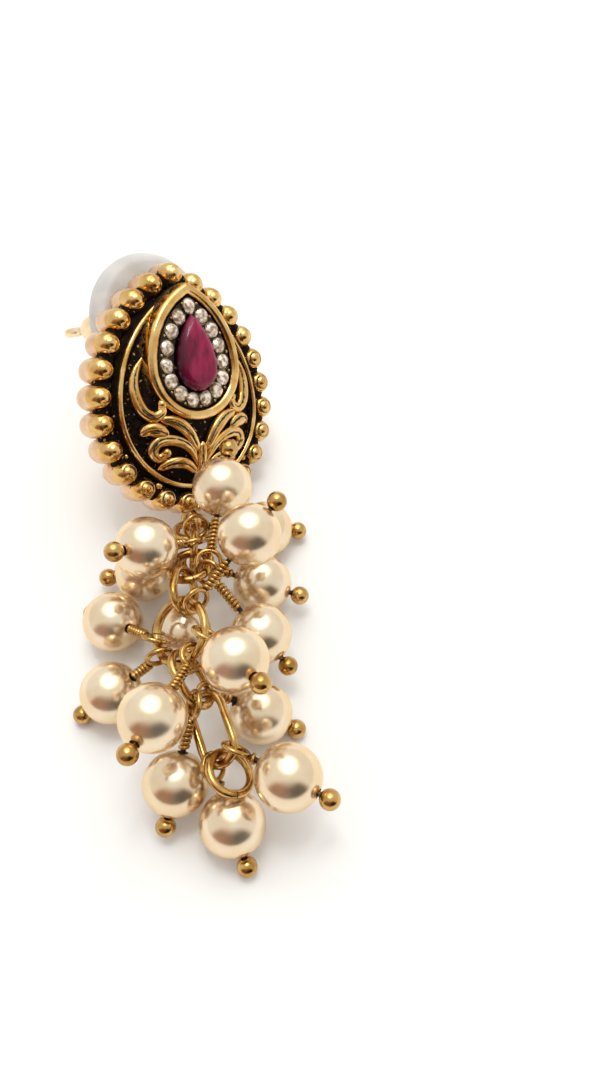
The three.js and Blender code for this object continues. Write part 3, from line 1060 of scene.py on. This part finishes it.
    def stroke(self, draft: Draft, stroke: Stroke, mirror: int) -> None:
        """Draws one stroke of the relief.

        Args:
            draft: what it is drawn in.
            stroke: its line and half widths.
            mirror: 1 on the right, -1 on the left.
        """
        steps = 44
        sides = 20
        scale = RIM.half_width
        line = []
        radii = []
        for i in range(steps + 1):
            share = i / steps
            x, y = stroke.point(share)
            x, y = mirror * x * scale, y * scale
            ends = share if stroke.curled else min(share, 1 - share)
            taper = min(1.0, 0.25 + 6 * ends)
            radii.append(scale * stroke.half_width(share) * taper)
            line.append(Vector((x, y, self.recess(x, y) + self.relief_height)))

        def cut(i: int) -> float:
            """Gives how deep the engraved line is at a step of the stroke."""
            return self.engraving * min(1.0, max(0.0, 5 * math.sin(math.pi * i / steps) - 1.2))

        def notch(angle: float) -> float:
            """Gives the share of the engraved line at an angle round the stroke."""
            away = (math.degrees(angle) - self.engraving_angle) / self.engraving_spread
            return math.exp(-(away**2))

        def tone(i: int, j: int) -> float:
            """Gives a dark tone in the engraved line and low on the stroke's sides.

            Args:
                i: the row along the stroke.
                j: the point round the stroke.

            Returns:
                The point's tone.
            """
            angle = FULL_TURN * j / sides
            low = 0.8 if math.sin(angle) < 0.1 else 0.0
            return max(low, 2.6 * cut(min(i, steps)) * notch(angle))

        def shape(i: int, angle: float) -> float:
            """Gives the share of the radius that the engraving leaves."""
            return 1 - cut(i) * notch(angle)

        draft.bar(line, radii, sides, Z_AXIS, tone=tone, shape=shape)
        if stroke.curled:
            draft.ball(line[-1] + Vector((0.0, 0.0, 0.08)), 1.2 * stroke.end * scale, 16)

    def bezel_ring(self) -> Draft:
        """Draws the broad rounded wall round the stones.

        Returns:
            The wall's draft.
        """
        draft = Draft()
        wall = BEZEL_WALL
        top = self.bezel_top
        bulge = 0.52 * wall
        section = [(-0.25 * wall, 0.0, 0.9), (-0.22 * wall, top - 1.6 * wall, 0.5)]
        for k in range(13):
            angle = math.pi * k / 12
            inset = 0.45 * wall - 0.6 * wall * math.cos(angle)
            section.append((inset, top - bulge * (1 - math.sin(angle)), 0.0))
        section += [(wall, top - 0.95 * wall, 0.75), (wall, 0.0, 1.0)]
        self.moulding(draft, BEZEL, 0.0, section)
        return draft

    def lug(self) -> Draft:
        """Draws the hang lug's eye and the neck that joins it to the rim.

        Returns:
            The draft of the eye and the neck.
        """
        draft = Draft()
        centre = self.pose.lug_centre
        radius = self.pose.lug_eye_radius
        wire = self.pose.lug_wire
        ring = [centre + radius * Vector((0.0, x, y)) for x, y in circle(40)]
        draft.bar(ring, [wire / 2] * len(ring), 14, Vector((1.0, 0.0, 0.0)), True, even(0.1))
        neck = []
        radii = []
        for k in range(9):
            share = k / 8
            y = (centre.y + radius) * (1 - share) + (1 - RIM.half_width) * share
            neck.append(Vector((0.0, y, centre.z)))
            radii.append(wire * (0.55 + 0.35 * share - 0.14 * math.sin(math.pi * share)))
        draft.bar(neck, radii, 16, Z_AXIS, tone=even(0.3))
        draft.ball(Vector((0.0, centre.y + radius + 0.15, centre.z)), 0.62 * wire, 14, 0.1)
        return draft

    def post(self) -> Draft:
        """Draws the straight ear post with its soldered foot and the groove near its end.

        Returns:
            The post's draft.
        """
        draft = Draft()
        r = self.post_diameter / 2
        d = self.post_diameter
        end = self.plate_thickness + self.post_length
        foot = self.post_foot / 2
        deep = self.plate_thickness
        profile = [
            (POLE_RADIUS, 0.6 * deep, 0.3), (foot, 0.6 * deep, 0.3), (foot, deep + 0.02, 0.35),
            (0.96 * foot, deep + 0.1, 0.1), (1.15 * r, deep + 0.3, 0.5), (r, deep + 0.4, 0.1),
            (r, end - 2.6 * d, 0.0), (0.86 * r, end - 2.5 * d, 0.3), (0.8 * r, end - 2.3 * d, 0.4),
            (0.86 * r, end - 2.1 * d, 0.3), (r, end - 2 * d, 0.0), (r, end - 0.55 * d, 0.0),
            (0.93 * r, end - 0.32 * d, 0.0), (0.72 * r, end - 0.12 * d, 0.0),
            (0.4 * r, end - 0.02 * d, 0.0), (POLE_RADIUS, end, 0.0),
        ]
        draft.turned(profile, 28, self.pose.post())
        return draft

    def build(self, gold: Finish, bead_back: Finish, floor: Finish, pale: Finish) -> None:
        """Makes and dresses the medallion's pieces.

        Args:
            gold: finish of the high metal.
            bead_back: finish of the beads' smooth backs.
            floor: finish of the recess.
            pale: finish of the post.
        """
        worn = gold.material()
        back = bead_back.material()
        crust = floor.material()
        parts = (
            ("medallion_plate", self.plate(), [worn, crust], 50.0),
            ("medallion_beads", self.beads(), [worn, back], 60.0),
            ("medallion_grime", self.grime(), [crust], 60.0),
            ("medallion_grains", self.grains(), [worn], 60.0),
            ("medallion_band", self.band(), [worn], 50.0),
            ("medallion_relief", self.relief(), [worn], 60.0),
            ("medallion_bezel", self.bezel_ring(), [worn], 50.0),
            ("medallion_lug", self.lug(), [worn], 60.0),
            ("medallion_post", self.post(), [pale.material()], 40.0),
        )
        for name, draft, materials, sharp in parts:
            draft.placed(self.place)
            settle(draft.piece(name, materials, sharp), Body.EARRING, Slot.ANTIQUE_GOLD, "medallion")


@dataclass
class StoneSetting:
    """The dark tray in the bezel with its ring of small cut stones, and the pear-shaped stone."""

    place: Matrix
    ruby: Teardrop = Teardrop(2.35, 5.4, 3.9)
    gap: float = 0.2
    tray_round: float = 0.08
    tray_bottom: float = 2.5
    tray_thickness: float = 0.75
    stone_diameter: float = 1.58
    stone_pitch: float = 1.6
    stone_lean: float = 0.16
    crown: float = 1.05
    girdle_rise: float = 0.15
    pavilion: float = 0.6
    table_share: float = 0.62
    steps: int = 120

    @property
    def tray_top(self) -> float:
        """The height of the tray's upper face."""
        return self.tray_bottom + self.tray_thickness

    def tray(self) -> Draft:
        """Draws the tray, with its hole for the large stone.

        Returns:
            The tray's draft.
        """
        draft = Draft()
        outer = BEZEL_WALL + self.gap
        rows = []
        for i in range(self.steps):
            share = i / self.steps
            rows.append([
                BEZEL.at(share, outer, self.tray_bottom),
                BEZEL.at(share, outer, self.tray_top - self.tray_round),
                BEZEL.at(share, outer + self.tray_round, self.tray_top),
                self.ruby.at(share, -self.gap - 0.06, self.tray_top),
                self.ruby.at(share, -self.gap, self.tray_top - 0.06),
                self.ruby.at(share, -self.gap, self.tray_bottom),
            ])
        draft.grid(rows, even(0.8), True)
        return draft

    def stones(self) -> tuple[Draft, Draft]:
        """Draws the ring of cut stones, and the small cups and grains that hold them.

        Returns:
            The stones' draft and the metal's draft.
        """
        stones = Draft()
        metal = Draft()
        r = self.stone_diameter / 2
        inset = BEZEL_WALL + self.gap + 0.55 * self.stone_diameter
        grain_inset = inset - 0.42 * self.stone_diameter
        row_share = (BEZEL.half_width - inset) / BEZEL.half_width
        count = round(BEZEL.length * row_share / self.stone_pitch)
        cup = [
            (0.5 * r, -0.3, 0.9), (0.95 * r, -0.12, 0.6), (1.06 * r, 0.1 * r, 0.0),
            (0.99 * r, 0.14 * r, 0.2), (0.9 * r, -0.05, 0.9),
        ]
        for i in range(count):
            seat = Matrix.Translation(BEZEL.at(i / count, inset, self.tray_top))
            tip = Matrix.Rotation(self.stone_lean * math.sin(2.1 * i), 4, "X")
            tilt = Matrix.Rotation(self.stone_lean * math.cos(1.7 * i), 4, "Y")
            self.cut_stone(stones, r, seat @ (tip @ tilt) @ Matrix.Rotation(0.6 * i, 4, "Z"))
            metal.turned(cup, 20, seat, hollow=True)
            metal.ball(BEZEL.at((i + 0.5) / count, grain_inset, self.tray_top + 0.1), 0.17, 10)
        return stones, metal

    def cut_stone(self, draft: Draft, radius: float, place: Matrix) -> None:
        """Draws one round stone with a table, kite and girdle facets.

        Args:
            draft: what it is drawn in.
            radius: the girdle's radius.
            place: the stone's placement, with its girdle at height 0.
        """
        sides = 8

        def ring(share: float, height: float, count: int, turn: float) -> list[int]:
            """Adds one ring of corners, and gives their numbers.

            Args:
                share: the ring's share of the stone's radius.
                height: its height, as a share of the stone's radius.
                count: number of corners.
                turn: how far it is turned, in steps from corner to corner.

            Returns:
                The corners' numbers in the draft.
            """
            made = []
            out = share * radius
            for k in range(count):
                angle = FULL_TURN * (k + turn) / count
                p = Vector((out * math.cos(angle), out * math.sin(angle), height * radius))
                made.append(len(draft.points))
                draft.points.append(place @ p)
                draft.tones.append(0.0)
            return made

        keel = ring(0.0, -0.4, 1, 0.0)[0]
        girdle = ring(1.0, 0.08, 2 * sides, 0.0)
        star = ring(0.84, 0.3, sides, 0.5)
        table = ring(0.58, 0.46, sides, 0.0)
        for k in range(2 * sides):
            draft.face((girdle[(k + 1) % (2 * sides)], girdle[k], keel))
        for k in range(sides):
            after = (k + 1) % sides
            draft.face((girdle[2 * k], girdle[2 * k + 1], star[k]))
            draft.face((girdle[2 * k + 1], girdle[(2 * k + 2) % (2 * sides)], star[k]))
            draft.face((girdle[2 * after], star[after], table[after], star[k]))
            draft.face((star[k], table[after], table[k]))
        draft.face(tuple(table))

    def pear(self) -> Draft:
        """Draws the pear-shaped stone with its softly domed crown.

        Returns:
            The stone's draft.
        """
        draft = Draft()
        girdle = self.tray_top + self.girdle_rise
        edge = 0.06
        # The third value of each level is painted shade, darkest at the girdle
        levels = [(0.7, -self.pavilion, 0.9), (0.98, -edge, 0.9), (1.0, edge, 0.9)]
        for k in range(1, 9):
            share = k / 8
            scale = 1 - (1 - self.table_share) * share**1.7
            rise = edge + (self.crown - edge) * math.sin(0.5 * math.pi * share)
            levels.append((scale, rise, 0.9 - 0.8 * share))
        for scale in (0.5, 0.35, 0.18):
            levels.append((scale, self.crown + 0.05 * (1 - scale), 0.0))
        sides = 72
        outline = [self.ruby.point(-(i + 0.5) / sides) for i in range(sides)]
        rows = []
        for scale, height, _tone in levels:
            lift = Vector((0.0, self.ruby.centre_y, girdle + height))
            rows.append([p * scale + lift for p in outline])
        # How much painted shade lies along the left side
        left = 0.55

        def tone(i: int, j: int) -> float:
            """Gives the painted shade: a dark tone at the girdle and along the left side."""
            side = max(0.0, -rows[i][j % sides].x / self.ruby.half_width)
            return levels[min(i, len(levels) - 1)][2] * 0.6 + left * side

        draft.grid(rows, tone)
        return draft

    def build(self, tray: Finish, stone: Finish, ruby: Finish) -> None:
        """Makes and dresses the tray, its stones and the pear-shaped stone.

        Args:
            tray: finish of the tray's metal.
            stone: finish of the small stones.
            ruby: finish of the large stone.
        """
        dark = tray.material()
        stones, metal = self.stones()
        parts = (
            ("halo_tray", self.tray(), dark, Slot.DARK_TRAY, "halo_setting", False),
            ("halo_cups", metal, dark, Slot.DARK_TRAY, "halo_setting", False),
            ("halo_stones", stones, stone.material(), Slot.DARK_TRAY, "halo_setting", True),
            ("ruby_pear", self.pear(), ruby.material(), Slot.RUBY_RED, "ruby_stone", False),
        )
        for name, draft, material, slot, node, flat in parts:
            draft.placed(self.place)
            settle(draft.piece(name, [material], 40.0, flat), Body.EARRING, slot, node)


@dataclass
class Clutch:
    """The push-on clutch: a thick soft disc and a metal barrel behind it."""

    place: Matrix
    lean: float
    bore: float = 0.8
    gap_to_beads: float = 0.35
    disc_diameter: float = 14.0
    disc_thickness: float = 3.2
    barrel_diameter: float = 3.8
    barrel_length: float = 7.8
    barrel_gap: float = 0.7

    @property
    def disc_middle(self) -> float:
        """How far along the post the disc's middle is."""
        behind = BEAD_REACH_BACK + self.gap_to_beads + self.disc_thickness / 2
        return behind / math.cos(self.lean)

    def disc(self) -> Draft:
        """Draws the disc, square to the plate, with its bore slanted along the post.

        Returns:
            The disc's draft.
        """
        draft = Draft()
        r = self.disc_diameter / 2
        h = self.disc_thickness / 2
        half = [(0.3, 1.0), (0.6, 1.0), (0.84, 1.0), (0.9, 0.93), (0.95, 0.7), (0.985, 0.38)]
        outer = [(out * r, -rise * h) for out, rise in half] + [(r, 0.0)]
        outer += [(out * r, rise * h) for out, rise in reversed(half)]
        wide = 1.25 * self.bore
        bore = [(wide, h), (self.bore, 0.85 * h), (self.bore, -0.85 * h), (wide, -h)]
        rows = []
        for x, y in circle(96):
            outward = Vector((x, y, 0.0))
            row = [radius * outward + height * Z_AXIS for radius, height in outer]
            for radius, height in bore:
                slant = Vector((height * math.tan(self.lean), 0.0, height))
                row.append(radius * outward + slant)
            rows.append(row)
        draft.grid(rows, ring=True)
        upright = Matrix.Rotation(-self.lean, 4, "Y")
        draft.placed(Matrix.Translation((0.0, 0.0, self.disc_middle)) @ upright)
        return draft

    def barrel(self) -> Draft:
        """Draws the barrel with its flange, its waist and its rolled end.

        Returns:
            The barrel's draft.
        """
        draft = Draft()
        r = self.barrel_diameter / 2
        h = self.barrel_length
        start = self.disc_middle + self.disc_thickness / 2 + self.barrel_gap
        shape = [
            (1.28, 0.0), (1.35, 0.02), (1.35, 0.08), (1.28, 0.1), (1.06, 0.13), (1.0, 0.17),
            (1.0, 0.3), (0.94, 0.32), (0.94, 0.34), (1.0, 0.36), (1.0, 0.55), (0.95, 0.72),
            (0.88, 0.85), (0.78, 0.95), (0.68, 1.0), (0.55, 1.0),
        ]
        profile = [(self.bore, start, 0.0)]
        profile += [(out * r, start + share * h, 0.0) for out, share in shape]
        profile.append((self.bore, start + 0.97 * h, 0.0))
        draft.turned(profile, 48, hollow=True)
        return draft

    def build(self, silicone: Finish, metal: Finish) -> None:
        """Makes and dresses the disc and the barrel.

        Args:
            silicone: finish of the disc.
            metal: finish of the barrel.
        """
        parts = (
            ("clutch_pad", self.disc(), silicone, Slot.MILKY_SILICONE, "clutch_disc"),
            ("clutch_tube", self.barrel(), metal, Slot.PALE_GOLD, "clutch_barrel"),
        )
        for name, draft, finish, slot, node in parts:
            draft.placed(self.place)
            settle(draft.piece(name, [finish.material()], 40.0), Body.CLUTCH, slot, node)


@dataclass(frozen=True)
class Link:
    """One ring of the chain in its own frame: X runs along the chain, and Z is square to the ring."""

    place: Matrix
    half_length: float
    bend: float

    def point(self, angle: float) -> Vector:
        """Gives a point of the middle line of the ring's wire.

        Args:
            angle: the angle round the ring, in radians.

        Returns:
            The point, in the ring's own frame.
        """
        cosine = math.cos(angle)
        way = 0.0 if abs(cosine) < 1e-6 else math.copysign(1.0, cosine)
        along = self.bend * cosine + way * (self.half_length - self.bend)
        return Vector((along, self.bend * math.sin(angle), 0.0))


@dataclass
class Chain:
    """The chain of jump rings from the lug to the free end."""

    first_square: Vector
    shift: Vector
    route: tuple[tuple[float, float, float], ...] = (
        (-0.4, 6.6, 2.0), (-0.2, 3.4, 4.4), (0.3, 0.0, 6.6), (0.1, -3.9, 8.9), (-0.1, -7.4, 9.7),
        (-0.1, -12.2, 8.4), (2.2, -15.8, 7.2), (4.1, -21.0, 6.6), (5.6, -23.6, 6.3),
    )
    widths: tuple[float, ...] = (4.6, 4.4, 4.4, 4.4, 6.8, 4.6, 4.4, 4.85)
    twists: tuple[float, ...] = (0.0, 0.0, 10.0, 19.0, 11.0, -1.0, 0.0, 20.0)

    def at(self, number: int) -> Vector:
        """Gives a point of the route, in the row frame."""
        return Vector(self.route[number]) + self.shift

    def links(self) -> list[Link]:
        """Gives every ring's frame, each turned a quarter from the one before and then its twist.

        Returns:
            The rings, from the lug to the free end.
        """
        square = self.first_square
        made = []
        for i, (width, twist) in enumerate(zip(self.widths, self.twists)):
            start, end = self.at(i), self.at(i + 1)
            along = (end - start).normalized()
            flat = (square - square.dot(along) * along).normalized()
            across = Matrix.Rotation(math.radians(twist), 3, along) @ flat
            square = along.cross(across)
            turn = Matrix((along, across, square)).transposed().to_4x4()
            half_length = (end - start).length / 2 + (LINK_WIRE + LINK_GAP) / 2
            bend = min((width - LINK_WIRE) / 2, half_length)
            made.append(Link(Matrix.Translation((start + end) / 2) @ turn, half_length, bend))
        return made

    def ring(self, link: Link, number: int) -> Draft:
        """Draws one ring, with the fine cut where its wire's ends meet.

        Args:
            link: its frame.
            number: its place in the chain.

        Returns:
            The ring's draft.
        """
        steps = 72
        seam = (number * 29 + 9) % steps
        places = []
        for k in range(steps):
            angle = FULL_TURN * (k + 0.5) / steps
            places.append((angle, 1.0))
            if k == seam:
                places += [(angle + 0.012, 0.8), (angle + 0.03, 0.8), (angle + 0.042, 1.0)]
        line = [link.point(angle) for angle, _size in places]
        radii = [LINK_WIRE / 2 * size for _angle, size in places]
        tones = [0.9 if size < 1 else 0.0 for _angle, size in places]
        draft = Draft()
        draft.bar(line, radii, 16, Z_AXIS, True, lambda i, _j: tones[i])
        draft.placed(link.place)
        return draft

    def build(self, gold: bpy.types.Material) -> None:
        """Makes and dresses every ring."""
        for i, link in enumerate(self.links()):
            piece = self.ring(link, i).piece(f"ring_{i + 1}", [gold], 60.0)
            settle(piece, Body.EARRING, Slot.WIRE_GOLD, f"link_{i + 1}")


@dataclass(frozen=True)
class Pearl:
    """Where one pearl lies, and the link and the angle round it that its pin is looped on."""

    name: str
    link: int
    angle: float
    x: float
    y: float
    z: float


PEARLS = (
    Pearl("a", 2, 270, 3.2, 5.4, 10.8),
    Pearl("b", 4, 147, 6.3, -2.0, 13.5),
    Pearl("c", 1, 98, 7.2, 5.4, 3.0),
    Pearl("d", 1, 49, -3.5, -2.5, 12.0),
    Pearl("e", 1, 278, -5.3, 0.0, 3.0),
    Pearl("f", 1, 270, 7.1, -1.3, 3.0),
    Pearl("g", 4, 278, -7.8, -5.8, 3.2),
    Pearl("h", 4, 82, 5.4, -14.4, 12.8),
    Pearl("i", 2, 278, 7.2, -8.3, 5.5),
    Pearl("j", 4, 311, -7.1, -13.5, 3.3),
    Pearl("k", 4, 41, -1.5, -19.2, 11.7),
    Pearl("l", 5, 290, 7.3, -15.4, 3.0),
    Pearl("m", 5, 49, -0.2, -22.5, 4.0),
    Pearl("n", 6, 303, 10.0, -23.1, 7.8),
    Pearl("o", 6, 41, 5.0, -25.8, 3.1),
    Pearl("p", 5, 256, -0.8, -7.1, 3.3),
)


@dataclass
class PearlCluster:
    """Drilled pearls, each on a ball-ended head pin that is looped and wrapped."""

    links: list[Link]
    shift: Vector
    diameter: float = 6.0
    drill: float = 1.0
    wire: float = 0.5
    loop_inner: float = 1.9
    loop_slack: float = 0.25
    ball: float = 1.9
    ball_gap: float = 0.1
    wrap_diameter: float = 1.05
    wrap_wire: float = 0.4

    def pearl(self) -> Draft:
        """Draws one drilled pearl, with its bore along Z and softened rims.

        Returns:
            The pearl's draft.
        """
        draft = Draft()
        r = self.diameter / 2
        bore = self.drill / 2
        start = math.asin(bore / r)
        rows = 36
        profile = []
        for i in range(rows + 1):
            angle = math.pi - start - (math.pi - 2 * start) * i / rows
            profile.append((r * math.sin(angle), r * math.cos(angle), 0.0))
        low = r * math.cos(start)
        profile += [(bore, low - 0.12, 0.0), (bore, 0.12 - low, 0.0)]
        draft.turned(profile, 56, hollow=True)
        return draft

    def pin(self, reach: float) -> Draft:
        """Draws one pin from its loop at the origin out to its ball.

        Args:
            reach: how far the pearl's centre is from the ring's wire.

        Returns:
            The pin's draft, with Z running out through the pearl.
        """
        draft = Draft()
        wire = self.wire / 2
        loop = (self.loop_inner + self.wire) / 2
        ring = [Vector((loop * x, 0.0, self.loop_slack + loop * y)) for x, y in circle(40)]
        draft.bar(ring, [wire] * len(ring), 12, Vector((0.0, 1.0, 0.0)), True)
        low = self.loop_slack + loop
        high = reach - self.diameter / 2 - self.ball_gap
        wrap = self.wrap_wire / 2
        coil = self.wrap_diameter / 2 - wrap
        turns = max(1.0, (high - low - 2 * wrap) / (2.05 * wrap))
        count = max(12, round(14 * turns))
        helix = []
        for k in range(count + 1):
            angle = FULL_TURN * turns * k / count
            height = low + wrap + (high - low - 2 * wrap) * k / count
            helix.append(Vector((coil * math.cos(angle), coil * math.sin(angle), height)))
        draft.bar(helix, [wrap] * (count + 1), 10, Z_AXIS, tone=even(0.1))
        out = reach + self.diameter / 2 + self.ball_gap + self.ball / 2
        draft.turned([(wire, low - 0.1, 0.9), (wire, high, 0.7), (wire, out, 0.3)], 12)
        draft.ball(Vector((0.0, 0.0, out)), self.ball / 2, 24)
        return draft

    def build(self, lustre: bpy.types.Material, gold: bpy.types.Material) -> None:
        """Makes and dresses every pearl and its pin.

        Args:
            lustre: material of the pearls.
            gold: material of the pins.
        """
        for item in PEARLS:
            link = self.links[item.link]
            turn = math.radians(item.angle)
            hook = link.place @ link.point(turn)
            along_wire = (link.place.to_3x3() @ Vector((-math.sin(turn), math.cos(turn), 0.0))).normalized()
            centre = Vector((item.x, item.y, item.z)) + self.shift
            out = (centre - hook).normalized()
            square = (along_wire - along_wire.dot(out) * out).normalized()
            basis = Matrix((square.cross(out), square, out)).transposed().to_4x4()
            ball = self.pearl()
            ball.placed(Matrix.Translation(centre) @ basis)
            piece = ball.piece(f"drop_{item.name}", [lustre], 50.0)
            settle(piece, Body.EARRING, Slot.PEARL_CREAM, f"pearl_{item.name}")
            pin = self.pin((centre - hook).length)
            pin.placed(Matrix.Translation(hook) @ basis)
            piece = pin.piece(f"pin_{item.name}", [gold], 60.0)
            settle(piece, Body.EARRING, Slot.WIRE_GOLD, f"head_pin_{item.name}")


@dataclass(frozen=True)
class PaleFloor(Finish):
    """The plain pale surface that the earring lies on."""

    cool: Colour = (0.93, 0.92, 0.915)
    warm: Colour = (0.95, 0.94, 0.935)
    cloud: float = 40.0

    def dress(self, recipe: Recipe) -> None:
        """Wires a nearly even pale colour without shine.

        Args:
            recipe: the material whose nodes are joined.
        """
        cloud = recipe.grain(self.cloud, 2)
        recipe.colours(cloud, (0.3, self.cool), (0.7, self.warm))
        recipe.set(Roughness=0.9, Specular_IOR_Level=0.1)


@dataclass
class Studio:
    """Camera, floor, pale tent and soft lights, placed in millimetres in the row frame."""

    shift: Vector
    camera_at: Vector = field(default_factory=lambda: Vector((11.0, -47.0, 84.2)))
    look_down: float = math.radians(58)
    focal_share: float = 900 / 1085
    sensor: float = 36.0
    floor_half: float = 1500.0
    floor_level: float = -0.02
    strip_size: tuple[float, float] = (24.0, 110.0)
    strip_watts: float = 0.13
    strip_tone: Colour = (0.98, 1.0, 0.97)
    overhead_strength: float = 2.75
    tent_strength: float = 0.88
    backdrop: Colour = (0.95, 0.945, 0.94)

    def camera(self) -> None:
        """Makes the camera at the photograph's viewing angle."""
        data = bpy.data.cameras.new("camera")
        data.sensor_width = self.sensor
        data.sensor_fit = "AUTO"
        data.lens = self.sensor * self.focal_share
        data.clip_start = 0.001
        made = bpy.data.objects.new("camera", data)
        made.location = (self.camera_at + self.shift) * MILLIMETRE
        made.rotation_euler = (math.pi / 2 - self.look_down, 0.0, 0.0)
        bpy.context.scene.collection.objects.link(made)
        bpy.context.scene.camera = made

    def floor(self) -> None:
        """Makes the plain pale floor."""
        half = self.floor_half
        draft = Draft()
        for x, y in ((-half, -half), (half, -half), (half, half), (-half, half)):
            draft.points.append(Vector((x, y, self.floor_level)))
            draft.tones.append(0.0)
        draft.face((0, 1, 2, 3))
        draft.piece("floor", [PaleFloor("studio_floor").material()], flat=True)

    def strip(self, name: str, centre: Vector) -> None:
        """Makes a soft strip light that faces the earring.

        Args:
            name: the light's name.
            centre: the middle of the light.
        """
        data = bpy.data.lights.new(name, "AREA")
        data.shape = "RECTANGLE"
        data.size, data.size_y = (side * MILLIMETRE for side in self.strip_size)
        data.energy = self.strip_watts
        data.color = self.strip_tone
        made = bpy.data.objects.new(name, data)
        made.location = centre * MILLIMETRE
        made.rotation_euler = centre.to_track_quat("Z", "Y").to_euler()
        bpy.context.scene.collection.objects.link(made)

    def world(self) -> None:
        """Makes the pale tent, bright overhead, with the dim room in front, and a plain backdrop."""
        world = bpy.data.worlds.new("studio")
        world.use_nodes = True
        wiring = Wiring(world.node_tree)
        # Each zone is a band of the direction that a ray looks in
        way = wiring.nodes.new("ShaderNodeTexCoord").outputs["Generated"]
        parts = wiring.nodes.new("ShaderNodeSeparateXYZ")
        wiring.join(way, parts.inputs["Vector"])
        x, y, z = (parts.outputs[axis] for axis in "XYZ")
        front = wiring.spread(y, -0.58, -0.38, 1, 0)
        room = wiring.product(front, wiring.spread(z, 0.6, 0.92, 1, 0))
        height = wiring.sum(z, y, 0.46)
        overhead = wiring.spread(height, 0.912, 1.088, self.tent_strength, self.overhead_strength)
        strength = wiring.sum(overhead, wiring.product(overhead, room), -1.0)
        lamp_side = wiring.spread(x, -0.35, 0.3, 0.34, 0.04)
        strength = wiring.sum(strength, wiring.product(room, lamp_side))
        tint = wiring.shades(z, (0.2, (1.0, 0.98, 0.97)), (0.9, (0.975, 1.0, 0.975)))
        across = wiring.spread(x, -0.4, 0.4)
        dim = wiring.shades(across, (0.3, (1.0, 0.5, 0.32)), (0.6, (1.0, 0.72, 0.55)))
        tent = wiring.nodes["Background"]
        wiring.join(wiring.mixed(room, tint, dim), tent.inputs["Color"])
        wiring.join(strength, tent.inputs["Strength"])
        backdrop = wiring.nodes.new("ShaderNodeBackground")
        backdrop.inputs["Color"].default_value = (*self.backdrop, 1.0)
        path = wiring.nodes.new("ShaderNodeLightPath")
        seen = wiring.nodes.new("ShaderNodeMixShader")
        wiring.join(path.outputs["Is Camera Ray"], seen.inputs["Fac"])
        wiring.join(tent.outputs["Background"], seen.inputs[1])
        wiring.join(backdrop.outputs["Background"], seen.inputs[2])
        wiring.join(seen.outputs["Shader"], wiring.nodes["World Output"].inputs["Surface"])
        bpy.context.scene.world = world

    def build(self) -> None:
        """Sets up the whole studio."""
        self.camera()
        self.floor()
        self.world()
        self.strip("left_strip", Vector((-28.0, 50.0, 380.0)))
        self.strip("right_strip", Vector((28.0, 50.0, 380.0)))
        bpy.context.scene.view_settings.view_transform = "Standard"


def layout_shift() -> Vector:
    """Gives the move from the layout's millimetres to the row frame, from where the pearls are.

    Returns:
        The move, in millimetres.
    """
    total = Vector()
    for item in PEARLS:
        low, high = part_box(f"pearl_{item.name}")
        total += (Vector(low) + Vector(high)) / 2 / MILLIMETRE - Vector((item.x, item.y, item.z))
    return total / len(PEARLS)


def main() -> None:
    """Builds the studio and then each sub-assembly round the frame."""
    logging.basicConfig(level=logging.INFO, format="%(message)s")
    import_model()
    shift = layout_shift()
    log.info("shift %s", [round(v, 3) for v in shift])
    Studio(shift).build()

    pose = Pose()
    chain = Chain(pose.face_right, shift)
    place = pose.medallion(chain.at(0), chain.at(1))
    worn = WornGold("antique_gold_worn")
    peach = SatinMetal("bead_back_satin", (0.68, 0.43, 0.25), (0.82, 0.59, 0.39), 0.3)
    pale = SatinMetal("post_pale_gold", (0.86, 0.66, 0.38), (0.94, 0.78, 0.54), 0.24)
    Medallion(place, pose).build(worn, peach, BlackenedFloor("recess_black"), pale)

    tray = WornGold("tray_metal", (0.32, 0.22, 0.12), (0.5, 0.37, 0.2), wear=0.2)
    StoneSetting(place).build(tray, FoiledStone("halo_crystal"), RubyGlass("ruby_glass"))

    clutch_place = place @ pose.post()
    tube = SatinMetal("clutch_pale_gold", (0.84, 0.64, 0.36), (0.93, 0.77, 0.52), 0.22)
    Clutch(clutch_place, pose.post_lean).build(MilkySilicone("milky_silicone"), tube)

    wire = WornGold("wire_gold_worn", (0.40, 0.21, 0.05), (0.70, 0.44, 0.16), wear=0.3, dent=0.008)
    gold = wire.material()
    chain.build(gold)
    PearlCluster(chain.links(), shift).build(PearlLustre("pearl_lustre").material(), gold)


if __name__ == "__main__":
    main()
